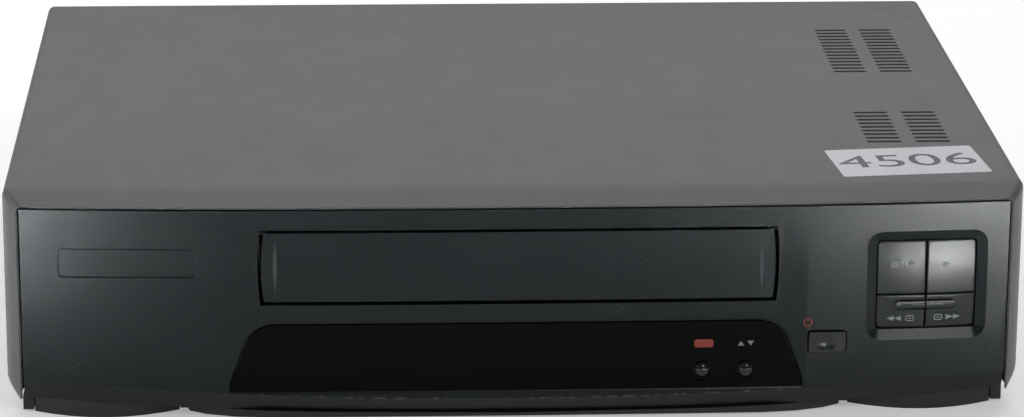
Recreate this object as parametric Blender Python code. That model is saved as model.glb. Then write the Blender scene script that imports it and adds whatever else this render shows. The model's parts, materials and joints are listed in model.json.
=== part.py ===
"""Front-loading video cassette recorder, built as separate pieces with working joints.

Metres, +Z up. X runs across the width, -Y is the front and z = 0 is the surface that it stands on.
The origin is the middle of the whole footprint, on that surface.
"""

import math

import bmesh
import bpy
from mathutils import Matrix, Vector

for leftover in list(bpy.data.objects):
    bpy.data.objects.remove(leftover, do_unlink=True)

# Driving sizes of the case
WIDTH = 0.380
HEIGHT = 0.087
DEPTH = 0.2954
BUTTON_PROUD = 0.0012
SOCKET_PROUD = 0.008
GAP = 0.0003
OVERRUN = 0.003
SLIVER = 0.0005

# The foremost point of the bowed fascia, the plane of its two ends and the rear edge of the cover
NOSE = BUTTON_PROUD - (DEPTH + BUTTON_PROUD + SOCKET_PROUD) / 2
BOW = 0.00535
BOW_POWER = 3
FRONT = NOSE + BOW
REAR = NOSE + DEPTH

# How smooth round shapes are
SIDES = 24
KNOB_SIDES = 16
SMALL_SIDES = 12
PIN_SIDES = 8
ARC_STEPS = 3
SMOOTH_ANGLE = math.radians(35)

# Finishes: base colour, roughness, metallic
PAINTED_STEEL = ((0.16, 0.162, 0.165), 0.42, 0.0)
CHARCOAL_PLASTIC = ((0.030, 0.033, 0.032), 0.38, 0.0)
BLACK_PLASTIC = ((0.018, 0.018, 0.018), 0.50, 0.0)
BLACK_GLOSS = ((0.006, 0.006, 0.007), 0.08, 0.0)
BLACK_RUBBER = ((0.015, 0.015, 0.015), 0.80, 0.0)
WHITE_PLASTIC = ((0.72, 0.72, 0.68), 0.45, 0.0)
BOARD_BROWN = ((0.30, 0.19, 0.08), 0.60, 0.0)
ZINC_STEEL = ((0.62, 0.62, 0.60), 0.35, 1.0)
BRIGHT_STEEL = ((0.75, 0.75, 0.75), 0.18, 1.0)
ALUMINIUM = ((0.80, 0.80, 0.80), 0.25, 1.0)
CORE_IRON = ((0.10, 0.10, 0.11), 0.45, 0.8)
SMOKED_GLASS = ((0.10, 0.14, 0.12), 0.10, 0.0)
HELPER = ((1.0, 0.2, 0.2), 0.5, 0.0)


# Making objects

def new_material(name, colour, roughness, metallic):
    look = bpy.data.materials.new(name)
    look.use_nodes = True
    shader = look.node_tree.nodes["Principled BSDF"]
    shader.inputs["Base Color"].default_value = (*colour, 1.0)
    shader.inputs["Roughness"].default_value = roughness
    shader.inputs["Metallic"].default_value = metallic
    return look


def make_object(name, shape, finish, pivot=(0.0, 0.0, 0.0)):
    """Turn a bmesh in world coordinates into an object whose origin is at pivot."""
    bmesh.ops.recalc_face_normals(shape, faces=shape.faces)
    bmesh.ops.translate(shape, vec=-Vector(pivot), verts=shape.verts)
    mesh = bpy.data.meshes.new(name)
    shape.to_mesh(mesh)
    shape.free()
    mesh.shade_smooth()
    mesh.set_sharp_from_angle(angle=SMOOTH_ANGLE)
    mesh.materials.append(new_material(name, *finish))
    thing = bpy.data.objects.new(name, mesh)
    thing.location = pivot
    bpy.context.collection.objects.link(thing)
    return thing


def boolean(target, label, shape, operation):
    """Join a shape to the target or cut it away, with a hidden helper object."""
    helper = make_object(target.name + "_" + label, shape, HELPER)
    helper.hide_render = True
    helper.display_type = "WIRE"
    step = target.modifiers.new(label, "BOOLEAN")
    step.operation = operation
    step.solver = "EXACT"
    step.use_self = operation == "UNION"
    step.object = helper


def join(target, label, shape):
    boolean(target, label, shape, "UNION")


def cut(target, label, shape):
    boolean(target, label, shape, "DIFFERENCE")


# Adding closed shapes to a bmesh

def add_box(shape, x, y, z):
    """A box between the two values of x, of y and of z."""
    size = Matrix.Diagonal((x[1] - x[0], y[1] - y[0], z[1] - z[0], 1.0))
    middle = Matrix.Translation(((x[0] + x[1]) / 2, (y[0] + y[1]) / 2, (z[0] + z[1]) / 2))
    bmesh.ops.create_cube(shape, size=1.0, matrix=middle @ size)


def add_prism(shape, outline, axis, span):
    """A flat outline extruded along X, Y or Z between the two values of span."""
    index = "XYZ".index(axis)
    corners = []
    for pair in outline:
        point = list(pair)
        point.insert(index, span[0])
        corners.append(shape.verts.new(point))
    face = shape.faces.new(corners)
    grown = bmesh.ops.extrude_face_region(shape, geom=[face])
    shift = Vector((0.0, 0.0, 0.0))
    shift[index] = span[1] - span[0]
    moved = [item for item in grown["geom"] if isinstance(item, bmesh.types.BMVert)]
    bmesh.ops.translate(shape, vec=shift, verts=moved)


def add_loft(shape, rings):
    """A closed skin over rings with equal counts of points, with flat ends."""
    rows = [[shape.verts.new(point) for point in ring] for ring in rings]
    count = len(rows[0])
    for low, high in zip(rows, rows[1:]):
        for i in range(count):
            j = (i + 1) % count
            shape.faces.new((low[i], low[j], high[j], high[i]))
    shape.faces.new(rows[0])
    shape.faces.new(rows[-1])


def add_turned(shape, profile, centre, axis=(0.0, 0.0, 1.0), sides=SIDES, closed=False):
    """A profile of (radius, height) points turned once round an axis through centre."""
    turn = Vector((0.0, 0.0, 1.0)).rotation_difference(Vector(axis))
    old = set(shape.verts)
    points = []
    for radius, height in profile:
        points.append(shape.verts.new(Vector(centre) + turn @ Vector((radius, 0.0, height))))
    pairs = list(zip(points, points[1:]))
    if closed:
        pairs.append((points[-1], points[0]))
    edges = [shape.edges.new(pair) for pair in pairs]
    bmesh.ops.spin(shape, geom=points + edges, cent=Vector(centre), axis=Vector(axis).normalized(),
                   angle=math.tau, steps=sides, use_merge=True)
    new = [vert for vert in shape.verts if vert not in old]
    bmesh.ops.remove_doubles(shape, verts=new, dist=GAP / SIDES)


def add_rod(shape, centre, axis, radius, span, sides=SMALL_SIDES):
    """A round rod along an axis through centre, between the two values of span."""
    profile = ((0.0, span[0]), (radius, span[0]), (radius, span[1]), (0.0, span[1]))
    add_turned(shape, profile, centre, axis, sides)


def add_tube(shape, centre, axis, outer, inner, span, sides=SIDES):
    """A tube along an axis through centre."""
    profile = ((outer, span[0]), (outer, span[1]), (inner, span[1]), (inner, span[0]))
    add_turned(shape, profile, centre, axis, sides, closed=True)


# Places given as shares of the case

def across(share):
    """The x at a share of half the fascia's width."""
    return FASCIA_HALF * share


def along(share):
    """The y at a share of the way from the fascia's end plane to the cover's rear edge."""
    return FRONT + (REAR - FRONT) * share


def up(share):
    """The z at a share of the height."""
    return HEIGHT * share


def spot(shares):
    """The x and y of a place in the case."""
    return across(shares[0]), along(shares[1])


# Flat outlines

def spread(low, high, count):
    """Evenly spaced values from low to high, both kept."""
    return [low + (high - low) * i / (count - 1) for i in range(count)]


def both(half, centre=0.0):
    """The pair of values that lie half to each side of a centre."""
    return (centre - half, centre + half)


def rounded_box(x, z, radius, steps=ARC_STEPS):
    """Outline of a rectangle with round corners."""
    corners = ((x[1], z[1], 0), (x[0], z[1], 1), (x[0], z[0], 2), (x[1], z[0], 3))
    outline = []
    for cx, cz, quarter in corners:
        mid_x = cx - math.copysign(radius, cx - sum(x) / 2)
        mid_z = cz - math.copysign(radius, cz - sum(z) / 2)
        for i in range(steps + 1):
            angle = (quarter + i / steps) * math.pi / 2
            outline.append((mid_x + radius * math.cos(angle), mid_z + radius * math.sin(angle)))
    return outline


def gear_outline(centre, tip, root, teeth):
    """Outline of a gear wheel with pointed teeth."""
    outline = []
    for i in range(2 * teeth):
        radius = tip if i % 2 else root
        angle = math.pi * i / teeth
        outline.append((centre[0] + radius * math.cos(angle), centre[1] + radius * math.sin(angle)))
    return outline


def strip(points, thickness):
    """Outline of a bent sheet whose middle line runs through the points."""
    left = []
    right = []
    for i, point in enumerate(points):
        here = Vector(point)
        ways = []
        if i > 0:
            ways.append((here - Vector(points[i - 1])).normalized())
        if i < len(points) - 1:
            ways.append((Vector(points[i + 1]) - here).normalized())
        side = sum((Vector((-way.y, way.x)) for way in ways), Vector((0.0, 0.0))).normalized()
        reach = thickness / 2 / side.dot(Vector((-ways[0].y, ways[0].x)))
        left.append(here + side * reach)
        right.append(here - side * reach)
    return [tuple(point) for point in left + right[::-1]]


# Top cover: a bent steel sheet with a bevelled rim round the fascia and vents at the rear right

SHEET = 0.0008
CORNER_RADIUS = 0.003
CURL_RADIUS = 0.006
CURL_TOP = 0.0145
LIP_DEPTH = 0.0136
LIP_DROP = 0.0033
LIP_INSET = 0.0056
COVER_COLUMNS = 25
COVER_HALF = WIDTH / 2
COVER_BOTTOM = CURL_TOP - CURL_RADIUS
LIP_HALF = COVER_HALF - LIP_INSET
LIP_TOP = HEIGHT - LIP_DROP

VENT_LENGTH = 0.0136
VENT_WIDTH = 0.0022
VENT_CORNER_SHARE = 0.45
VENT_CORNER_STEPS = 1
VENT_PITCH = 0.00522
VENT_COLUMN_PITCH = 0.0189
VENT_INSET = 0.0358
VENT_REAR_MARGIN = 0.0509
VENT_REAR_COUNT = 14
VENT_FRONT_SETBACK = 0.0663
VENT_FRONT_COUNT = 9

SCREW_HEIGHT = 0.023
SCREW_SETBACK = 0.060
SCREW_REAR_MARGIN = 0.055
SCREW_ROWS = (FRONT + SCREW_SETBACK, REAR - SCREW_REAR_MARGIN)
DIMPLE_RADIUS = 0.0044
DIMPLE_DEPTH = 0.0023
SCREW_RADIUS = 0.0014
SCREW_HEAD_RADIUS = 0.0034
SCREW_HEAD_HEIGHT = 0.0016
SCREW_EDGE_SHARE = 0.6
SCREW_LENGTH = 0.0080


def bow(x):
    """The y of the fascia's front surface at x."""
    return FRONT - BOW * (1 - (abs(x) / FASCIA_HALF) ** BOW_POWER)


def cover_section():
    """Half of the cover's outer section as (x, z) points, from the curled lower edge to the middle."""
    points = []
    for i in range(ARC_STEPS + 2):
        angle = -math.pi / 2 * (1 - i / (ARC_STEPS + 1))
        x = COVER_HALF - CURL_RADIUS + CURL_RADIUS * math.cos(angle)
        points.append((x, CURL_TOP + CURL_RADIUS * math.sin(angle)))
    for i in range(ARC_STEPS + 1):
        angle = math.pi / 2 * i / ARC_STEPS
        x = COVER_HALF - CORNER_RADIUS + CORNER_RADIUS * math.cos(angle)
        points.append((x, HEIGHT - CORNER_RADIUS + CORNER_RADIUS * math.sin(angle)))
    top = spread(COVER_HALF - CORNER_RADIUS, 0.0, COVER_COLUMNS // 2 + 1)
    points.extend((x, HEIGHT) for x in top[1:])
    return points


def lip_point(x, z):
    """Where a point of the cover's section ends up on the front edge of the rim."""
    lip_z = COVER_BOTTOM + (z - COVER_BOTTOM) * (LIP_TOP - COVER_BOTTOM) / (HEIGHT - COVER_BOTTOM)
    if z < HEIGHT - CORNER_RADIUS:
        lip_x = math.copysign(LIP_HALF, x)
    else:
        lip_x = x * LIP_HALF / COVER_HALF
    return (lip_x, bow(lip_x) + GAP, lip_z)


def make_cover():
    right = cover_section()
    section = right + [(-x, z) for x, z in right[-2::-1]]
    shape = bmesh.new()
    rows = (
        [lip_point(x, z) for x, z in section],
        [(x, FRONT + LIP_DEPTH, z) for x, z in section],
        [(x, REAR, z) for x, z in section],
    )
    grid = [[shape.verts.new(point) for point in row] for row in rows]
    for low, high in zip(grid, grid[1:]):
        for i in range(len(section) - 1):
            shape.faces.new((low[i], low[i + 1], high[i + 1], high[i]))
    cover = make_object("top_cover", shape, PAINTED_STEEL)
    up = sum(face.normal.z for face in cover.data.polygons)
    skin = cover.modifiers.new("sheet", "SOLIDIFY")
    skin.thickness = SHEET
    skin.offset = math.copysign(1.0, -up)
    skin.use_even_offset = True

    cups = bmesh.new()
    holes = bmesh.new()
    floor = COVER_HALF - DIMPLE_DEPTH
    for side in (-1, 1):
        for row in SCREW_ROWS:
            centre = (0.0, row, SCREW_HEIGHT)
            cup = (floor - SHEET, COVER_HALF - SHEET / 2)
            add_rod(cups, centre, (side, 0.0, 0.0), DIMPLE_RADIUS + SHEET, cup, SIDES)
            hole = SCREW_RADIUS + GAP
            profile = ((0.0, floor - OVERRUN), (hole, floor - OVERRUN), (hole, floor),
                       (DIMPLE_RADIUS, floor), (DIMPLE_RADIUS, COVER_HALF + OVERRUN),
                       (0.0, COVER_HALF + OVERRUN))
            add_turned(holes, profile, centre, (side, 0.0, 0.0), SIDES)
    rows = [FRONT + VENT_FRONT_SETBACK + i * VENT_PITCH for i in range(VENT_FRONT_COUNT)]
    rows.extend(REAR - VENT_REAR_MARGIN - i * VENT_PITCH for i in range(VENT_REAR_COUNT))
    for column in both(VENT_COLUMN_PITCH / 2, COVER_HALF - VENT_INSET):
        for row in rows:
            outline = rounded_box(both(VENT_LENGTH / 2, column), both(VENT_WIDTH / 2, row),
                                  VENT_WIDTH * VENT_CORNER_SHARE, VENT_CORNER_STEPS)
            add_prism(holes, outline, "Z", (HEIGHT - SHEET - OVERRUN, HEIGHT + OVERRUN))
    join(cover, "screw_cups", cups)
    cut(cover, "holes", holes)


def make_cover_screws():
    floor = COVER_HALF - DIMPLE_DEPTH + GAP
    for label, side in (("left", -1), ("right", 1)):
        for number, row in enumerate(SCREW_ROWS, 1):
            shape = bmesh.new()
            add_turned(shape, screw_profile(floor), (0.0, row, SCREW_HEIGHT), (side, 0.0, 0.0), SMALL_SIDES)
            make_object("cover_screw_" + label + "_" + str(number), shape, ZINC_STEEL)


def screw_profile(seat):
    """Profile of a pan head screw whose head starts at the seat and whose shank points back."""
    edge = SCREW_HEAD_HEIGHT * SCREW_EDGE_SHARE
    return ((0.0, seat - SCREW_LENGTH), (SCREW_RADIUS, seat - SCREW_LENGTH), (SCREW_RADIUS, seat),
            (SCREW_HEAD_RADIUS, seat), (SCREW_HEAD_RADIUS, seat + edge),
            (SCREW_HEAD_RADIUS / 2, seat + SCREW_HEAD_HEIGHT), (0.0, seat + SCREW_HEAD_HEIGHT))


# Front fascia: a bowed plastic moulding with a tapered lower edge

FASCIA_GAP = 0.0005
FASCIA_HALF = LIP_HALF - SHEET - FASCIA_GAP
FASCIA_TOP = LIP_TOP - SHEET - FASCIA_GAP
WALL = 0.0022
FASCIA_DEPTH = 0.018
FASCIA_COLUMNS = 41
FASCIA_CORNER = 0.0016
CREASE_MIDDLE = 0.0090
CREASE_RISE = 0.0075
EDGE_MIDDLE = 0.0023
EDGE_RISE = 0.0057
EDGE_SETBACK = 0.0050

SLOT_CENTRE = 0.0006
SLOT_SHARE = 0.5238
SLOT_Z_SHARES = (0.5333, 0.8598)
SLOT_END_SHARES = (0.2, 0.5, 0.75, 1.0)
SLOT_SAGITTA = 0.0009
SLOT_COLUMNS = 10
SLOT_HALF = across(SLOT_SHARE)
SLOT_BOTTOM, SLOT_TOP = map(up, SLOT_Z_SHARES)
CHUTE_WALL = 0.0026
CHUTE_SHARE = 0.33
CHEEK_DEPTH = 0.0225

BADGE_X_SHARES = (-0.9235, -0.6466)
BADGE_Z_SHARES = (0.6506, 0.7805)
BADGE_DEPTH = 0.0006
BADGE_COLUMNS = 5

PANEL_X_SHARES = (0.7100, 0.9574)
PANEL_Z_SHARES = (0.3402, 0.8264)
PANEL_LEFT, PANEL_RIGHT = map(across, PANEL_X_SHARES)
PANEL_BOTTOM, PANEL_TOP = map(up, PANEL_Z_SHARES)
PANEL_BEVEL = 0.0037
PANEL_DEPTH = 0.0018
PANEL_RADIUS = 0.0045
KEY_SPLIT_SHARES = (0.8323, 0.5402)
KEY_SPLIT_X = across(KEY_SPLIT_SHARES[0])
KEY_SPLIT_Z = up(KEY_SPLIT_SHARES[1])
KEY_GAP = 0.0004
KEY_RADIUS = 0.0015

POWER_X_SHARES = (0.5942, 0.6696)
POWER_Z_SHARES = (0.2966, 0.3862)
POWER_LEFT, POWER_RIGHT = map(across, POWER_X_SHARES)
POWER_BOTTOM, POWER_TOP = map(up, POWER_Z_SHARES)
POWER_PROUD = 0.0009
POWER_DISH_RADIUS = 0.0035
POWER_DISH_DEPTH = 0.0005
POWER_DISH_SHARES = (0.6, 0.8)

RECORD_SHARE = 0.3768
CHANNEL_SHARE = 0.4659
DOME_Z_SHARE = 0.2241
RECORD_X = across(RECORD_SHARE)
CHANNEL_X = across(CHANNEL_SHARE)
DOME_Z = up(DOME_Z_SHARE)
DOME_RADIUS = 0.0029
CRESCENT_RADIUS = 0.0042
CRESCENT_SHIFT = 0.0017
CRESCENT_DEPTH = 0.0006

KEY_BOARD_SETBACK = 0.0140
KEY_BOARD_THICKNESS = 0.0016
POST_RADIUS = 0.0025
POST_SHARES = ((-0.524, 0.483), (-0.273, 0.477), (0.273, 0.477), (0.685, 0.690), (0.688, 0.213),
               (0.964, 0.213), (0.975, 0.851), (0.685, 0.851))


def crease_height(x):
    return CREASE_MIDDLE + CREASE_RISE * (x / FASCIA_HALF) ** 2


def edge_height(x):
    return EDGE_MIDDLE + EDGE_RISE * (x / FASCIA_HALF) ** 2


def bowed_slab(shape, columns, offsets):
    """A slab that follows the bow: columns of (x, low z, high z), between two offsets from the surface."""
    rings = []
    for x, low, high in columns:
        front = bow(x) + offsets[0]
        back = bow(x) + offsets[1]
        rings.append(((x, front, low), (x, front, high), (x, back, high), (x, back, low)))
    add_loft(shape, rings)


def slot_columns(margin):
    """Columns of the cassette slot's outline, drawn in by a margin, with its ends as shallow arcs."""
    middle = (SLOT_BOTTOM + SLOT_TOP) / 2
    half = (SLOT_TOP - SLOT_BOTTOM) / 2 - margin
    end = SLOT_HALF - margin
    columns = []
    for share in SLOT_END_SHARES:
        x = end - SLOT_SAGITTA * share ** 2
        columns.append((x, middle - half * share, middle + half * share))
    inner = spread(end - SLOT_SAGITTA, 0.0, SLOT_COLUMNS)
    columns.extend((x, middle - half, middle + half) for x in inner[1:])
    left = [(-x, low, high) for x, low, high in columns]
    return [(SLOT_CENTRE + x, low, high) for x, low, high in left + columns[-2::-1]]


def make_fascia():
    rings = []
    shoulder = FASCIA_HALF - FASCIA_CORNER
    for x in [-FASCIA_HALF] + spread(-shoulder, shoulder, FASCIA_COLUMNS) + [FASCIA_HALF]:
        y = bow(x)
        crease = crease_height(x)
        edge = edge_height(x)
        top = FASCIA_TOP - max(0.0, abs(x) - shoulder)
        rings.append((
            (x, y, top),
            (x, y, crease),
            (x, y + EDGE_SETBACK, edge),
            (x, y + EDGE_SETBACK + WALL, edge),
            (x, y + WALL, crease + SLIVER),
            (x, y + WALL, top - WALL),
            (x, FRONT + LIP_DEPTH, top - WALL),
            (x, FRONT + LIP_DEPTH, top),
        ))
    shape = bmesh.new()
    add_loft(shape, rings)
    fascia = make_object("front_fascia", shape, CHARCOAL_PLASTIC)

    extras = bmesh.new()
    chute_front = FRONT - BOW * (1 - CHUTE_SHARE)
    add_box(extras, both(SLOT_HALF + CHUTE_WALL, SLOT_CENTRE), (chute_front, FRONT + FASCIA_DEPTH),
            (SLOT_BOTTOM - CHUTE_WALL, SLOT_TOP + CHUTE_WALL))
    for side in (-1, 1):
        wall = sorted((side * (FASCIA_HALF - WALL), side * (FASCIA_HALF - SLIVER / 2)))
        add_box(extras, wall, (FRONT + SLIVER, FRONT + FASCIA_DEPTH), (edge_height(FASCIA_HALF) + WALL,
                                                                       FASCIA_TOP - FASCIA_CORNER - SLIVER))
    for share_x, share_z in POST_SHARES:
        x = across(share_x)
        add_rod(extras, (x, 0.0, up(share_z)), (0.0, 1.0, 0.0), POST_RADIUS,
                (bow(x) + WALL / 2, FRONT + KEY_BOARD_SETBACK - GAP))
    join(fascia, "walls_and_posts", extras)

    cheeks = bmesh.new()
    for side in (-1, 1):
        ends = (SLOT_HALF - SLOT_SAGITTA - OVERRUN, SLOT_HALF + CHUTE_WALL - SLIVER)
        x = sorted(SLOT_CENTRE + side * end for end in ends)
        add_box(cheeks, x, (FRONT + FASCIA_DEPTH - WALL, FRONT + CHEEK_DEPTH),
                (SLOT_BOTTOM - CHUTE_WALL + SLIVER, SLOT_TOP + CHUTE_WALL - SLIVER))
    join(fascia, "chute_cheeks", cheeks)

    slot = bmesh.new()
    columns = slot_columns(0.0)
    rings = []
    for x, low, high in columns:
        front = FRONT - BOW - OVERRUN
        back = FRONT + CHEEK_DEPTH + OVERRUN
        rings.append(((x, front, low), (x, front, high), (x, back, high), (x, back, low)))
    add_loft(slot, rings)
    cut(fascia, "cassette_slot", slot)

    holes = bmesh.new()
    badge = [across(share) for share in spread(*BADGE_X_SHARES, BADGE_COLUMNS)]
    bowed_slab(holes, [(x, *map(up, BADGE_Z_SHARES)) for x in badge], (-OVERRUN, BADGE_DEPTH))
    bowed_slab(holes, window_columns(0.0), (-OVERRUN, WINDOW_RECESS))
    for side in (-1, 1):
        socket = (SLOT_HALF - SLOT_SAGITTA - OVERRUN, SLOT_HALF + HINGE_PIN_REACH + GAP)
        add_rod(holes, (SLOT_CENTRE, HINGE_Y, HINGE_Z), (side, 0.0, 0.0), HINGE_PIN_RADIUS + GAP, socket)
    through = (FRONT - BOW - OVERRUN, FRONT + EDGE_SETBACK)
    power = rounded_box((POWER_LEFT - KEY_GAP, POWER_RIGHT + KEY_GAP),
                        (POWER_BOTTOM - KEY_GAP, POWER_TOP + KEY_GAP), KEY_RADIUS)
    add_prism(holes, power, "Y", through)
    cut(fascia, "recesses", holes)

    window = bmesh.new()
    bowed_slab(window, window_columns(WINDOW_LEDGE), (0.0, EDGE_SETBACK))
    cut(fascia, "window", window)

    panel = bmesh.new()
    outer = rounded_box((PANEL_LEFT, PANEL_RIGHT), (PANEL_BOTTOM, PANEL_TOP), PANEL_RADIUS)
    inner = rounded_box(*panel_inside(), KEY_RADIUS + KEY_GAP)
    add_loft(panel, (
        [(x, FRONT - BOW - OVERRUN, z) for x, z in outer],
        [(x, bow(x), z) for x, z in outer],
        [(x, bow(x) + PANEL_DEPTH, z) for x, z in inner],
        [(x, FRONT + EDGE_SETBACK, z) for x, z in inner],
    ))
    cut(fascia, "control_panel", panel)


def panel_inside():
    """The x and z spans of the hole that the four transport buttons fill."""
    return (PANEL_LEFT + PANEL_BEVEL, PANEL_RIGHT - PANEL_BEVEL), (PANEL_BOTTOM + PANEL_BEVEL,
                                                                   PANEL_TOP - PANEL_BEVEL)


# Display window: a smoked plate that follows the bow, let into the fascia

WINDOW_X_SHARES = (0.5025, 0.5806)
WINDOW_TOP_SHARE = 0.4552
WINDOW_SHOULDER, WINDOW_HALF = map(across, WINDOW_X_SHARES)
WINDOW_TOP = up(WINDOW_TOP_SHARE)
WINDOW_TOP_FALL = 0.0019
WINDOW_MARGIN = 0.0006
WINDOW_BOTTOM = CREASE_MIDDLE + WINDOW_MARGIN
WINDOW_BOTTOM_RISE = 0.0020
WINDOW_HEEL_RISE = 0.0044
WINDOW_HEEL = WINDOW_BOTTOM + WINDOW_HEEL_RISE
WINDOW_END_SHARES = ((0.31, 0.90), (0.56, 0.71), (0.79, 0.37), (1.0, 0.0))
WINDOW_COLUMNS = 10
WINDOW_RECESS = 0.0015
WINDOW_LEDGE = 0.0025
WINDOW_SINK = 0.0003


def window_columns(margin):
    """Columns of the window's outline, drawn in by a margin."""
    half = WINDOW_HALF - margin
    shoulder = WINDOW_SHOULDER - margin
    columns = []
    for x in spread(0.0, shoulder, WINDOW_COLUMNS):
        columns.append((x, WINDOW_TOP - WINDOW_TOP_FALL * (x / shoulder) ** 2 - margin))
    top = WINDOW_TOP - WINDOW_TOP_FALL - margin
    heel = WINDOW_HEEL + margin / 2
    for share_x, share_z in WINDOW_END_SHARES:
        columns.append((shoulder + (half - shoulder) * share_x, heel + (top - heel) * share_z))
    right = []
    for x, high in columns:
        right.append((x, WINDOW_BOTTOM + WINDOW_BOTTOM_RISE * (x / half) ** 2 + margin / 2, high))
    return [(-x, low, high) for x, low, high in right[:0:-1]] + right


def make_window():
    shape = bmesh.new()
    bowed_slab(shape, window_columns(GAP), (WINDOW_SINK, WINDOW_RECESS - GAP))
    window = make_object("display_window", shape, BLACK_GLOSS)
    holes = bmesh.new()
    dishes = bmesh.new()
    for x in (RECORD_X, CHANNEL_X):
        add_rod(holes, (x, 0.0, DOME_Z), (0.0, 1.0, 0.0), DOME_RADIUS + KEY_GAP,
                (FRONT - BOW - OVERRUN, FRONT + EDGE_SETBACK), SIDES)
        dish = (x - CRESCENT_SHIFT, 0.0, DOME_Z - CRESCENT_SHIFT)
        add_rod(dishes, dish, (0.0, 1.0, 0.0), CRESCENT_RADIUS,
                (FRONT - BOW - OVERRUN, bow(x) + CRESCENT_DEPTH), SIDES)
    cut(window, "dishes", dishes)
    cut(window, "button_holes", holes)


# Cassette flap: hinged along its top edge, it swings inwards

FLAP_GAP = 0.0007
FLAP_THICKNESS = 0.0022
HINGE_PIN_RADIUS = 0.0007
HINGE_PIN_REACH = 0.0007
HINGE_DROP = 0.0012
HINGE_SINK = 0.0024
HINGE_Y = FRONT - BOW + HINGE_SINK
HINGE_Z = SLOT_TOP - HINGE_DROP
RIB_SETIN = 0.0065
RIB_WIDTH = 0.0015
RIB_HALF_LENGTH = 0.0105
RIB_PROUD = 0.0005
RIB_STATIONS = 5


def make_flap():
    shape = bmesh.new()
    bowed_slab(shape, slot_columns(FLAP_GAP), (0.0, FLAP_THICKNESS))
    flap = make_object("cassette_flap", shape, CHARCOAL_PLASTIC, (SLOT_CENTRE, HINGE_Y, HINGE_Z))
    extras = bmesh.new()
    for side in (-1, 1):
        pin = (SLOT_HALF - FLAP_GAP - SLOT_SAGITTA - OVERRUN, SLOT_HALF + HINGE_PIN_REACH - GAP)
        add_rod(extras, (SLOT_CENTRE, HINGE_Y, HINGE_Z), (side, 0.0, 0.0), HINGE_PIN_RADIUS, pin)
        x = SLOT_CENTRE + side * (SLOT_HALF - RIB_SETIN)
        middle = (SLOT_BOTTOM + SLOT_TOP) / 2
        rib = []
        for share in spread(-1.0, 1.0, RIB_STATIONS):
            half = RIB_WIDTH / 2 * (1 - share ** 2) + GAP / 2
            z = middle + RIB_HALF_LENGTH * share
            front = bow(x) - RIB_PROUD * (1 - share ** 2) - GAP / 2
            back = bow(x) + FLAP_THICKNESS / 2
            rib.append(((x - half, back, z), (x, front, z), (x + half, back, z)))
        add_loft(extras, rib)
    join(flap, "pins_and_ribs", extras)


# Buttons: each slides back into the fascia and is pushed out again by its switch

KEY_SINK = 0.0010
KEY_PILLOW = 0.0005
KEY_FACE_SHARES = ((0.0, 1.0), (0.23, 0.35), (0.57, 0.0))
KEY_BACK = 0.0065
STEM_RADIUS = 0.0020
KEY_TRAVEL = 0.0008
SWITCH_HEIGHT = 0.0040
SWITCH_HALF = 0.0030
STEM_END = KEY_BOARD_SETBACK - SWITCH_HEIGHT - KEY_TRAVEL - GAP
BAR_X_SHARES = (0.7712, 0.8930)
BAR_Z_SHARES = (0.4793, 0.5115)
BAR_PROUD = 0.0007
BAR_ROOT = 0.0010
BAR_COLUMNS = 3


def shrink(span, amount):
    return (span[0] + amount, span[1] - amount)


def make_key(name, x, z):
    """One of the four transport buttons, with a pillowed face that follows the bow."""
    rings = []
    back = rounded_box(x, z, KEY_RADIUS)
    rings.append([(px, FRONT + KEY_BACK, pz) for px, pz in back])
    half = min(x[1] - x[0], z[1] - z[0]) / 2
    for inset_share, sink_share in KEY_FACE_SHARES:
        inset = half * inset_share
        outline = rounded_box(shrink(x, inset), shrink(z, inset), KEY_RADIUS)
        sink = KEY_SINK + KEY_PILLOW * sink_share
        rings.append([(px, bow(px) + sink, pz) for px, pz in outline])
    shape = bmesh.new()
    add_loft(shape, rings)
    centre = (sum(x) / 2, FRONT + KEY_BACK, sum(z) / 2)
    key = make_object(name, shape, CHARCOAL_PLASTIC, centre)
    extras = bmesh.new()
    stem = (FRONT + KEY_BACK - KEY_PILLOW, FRONT + STEM_END)
    add_rod(extras, (centre[0], 0.0, centre[2]), (0.0, 1.0, 0.0), STEM_RADIUS, stem)
    if sum(z) / 2 < KEY_SPLIT_Z:
        bar_x = map(across, BAR_X_SHARES)
        low, high = map(up, BAR_Z_SHARES)
        rings = []
        for px in spread(max(x[0], next(bar_x)), min(x[1], next(bar_x)), BAR_COLUMNS):
            front = bow(px) + KEY_SINK - BAR_PROUD
            inner = bow(px) + KEY_SINK + BAR_ROOT
            rings.append(((px, front, low + SLIVER), (px, front, high - SLIVER), (px, inner, high),
                          (px, inner, low)))
        add_loft(extras, rings)
    join(key, "stem_and_bar", extras)


def key_spans():
    """The name, x span and z span of each transport button."""
    x, z = panel_inside()
    left = (x[0] + KEY_GAP, KEY_SPLIT_X - KEY_GAP / 2)
    right = (KEY_SPLIT_X + KEY_GAP / 2, x[1] - KEY_GAP)
    low = (z[0] + KEY_GAP, KEY_SPLIT_Z - KEY_GAP / 2)
    high = (KEY_SPLIT_Z + KEY_GAP / 2, z[1] - KEY_GAP)
    return (("stop_button", left, high), ("play_button", right, high),
            ("rewind_button", left, low), ("fast_forward_button", right, low))


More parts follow.
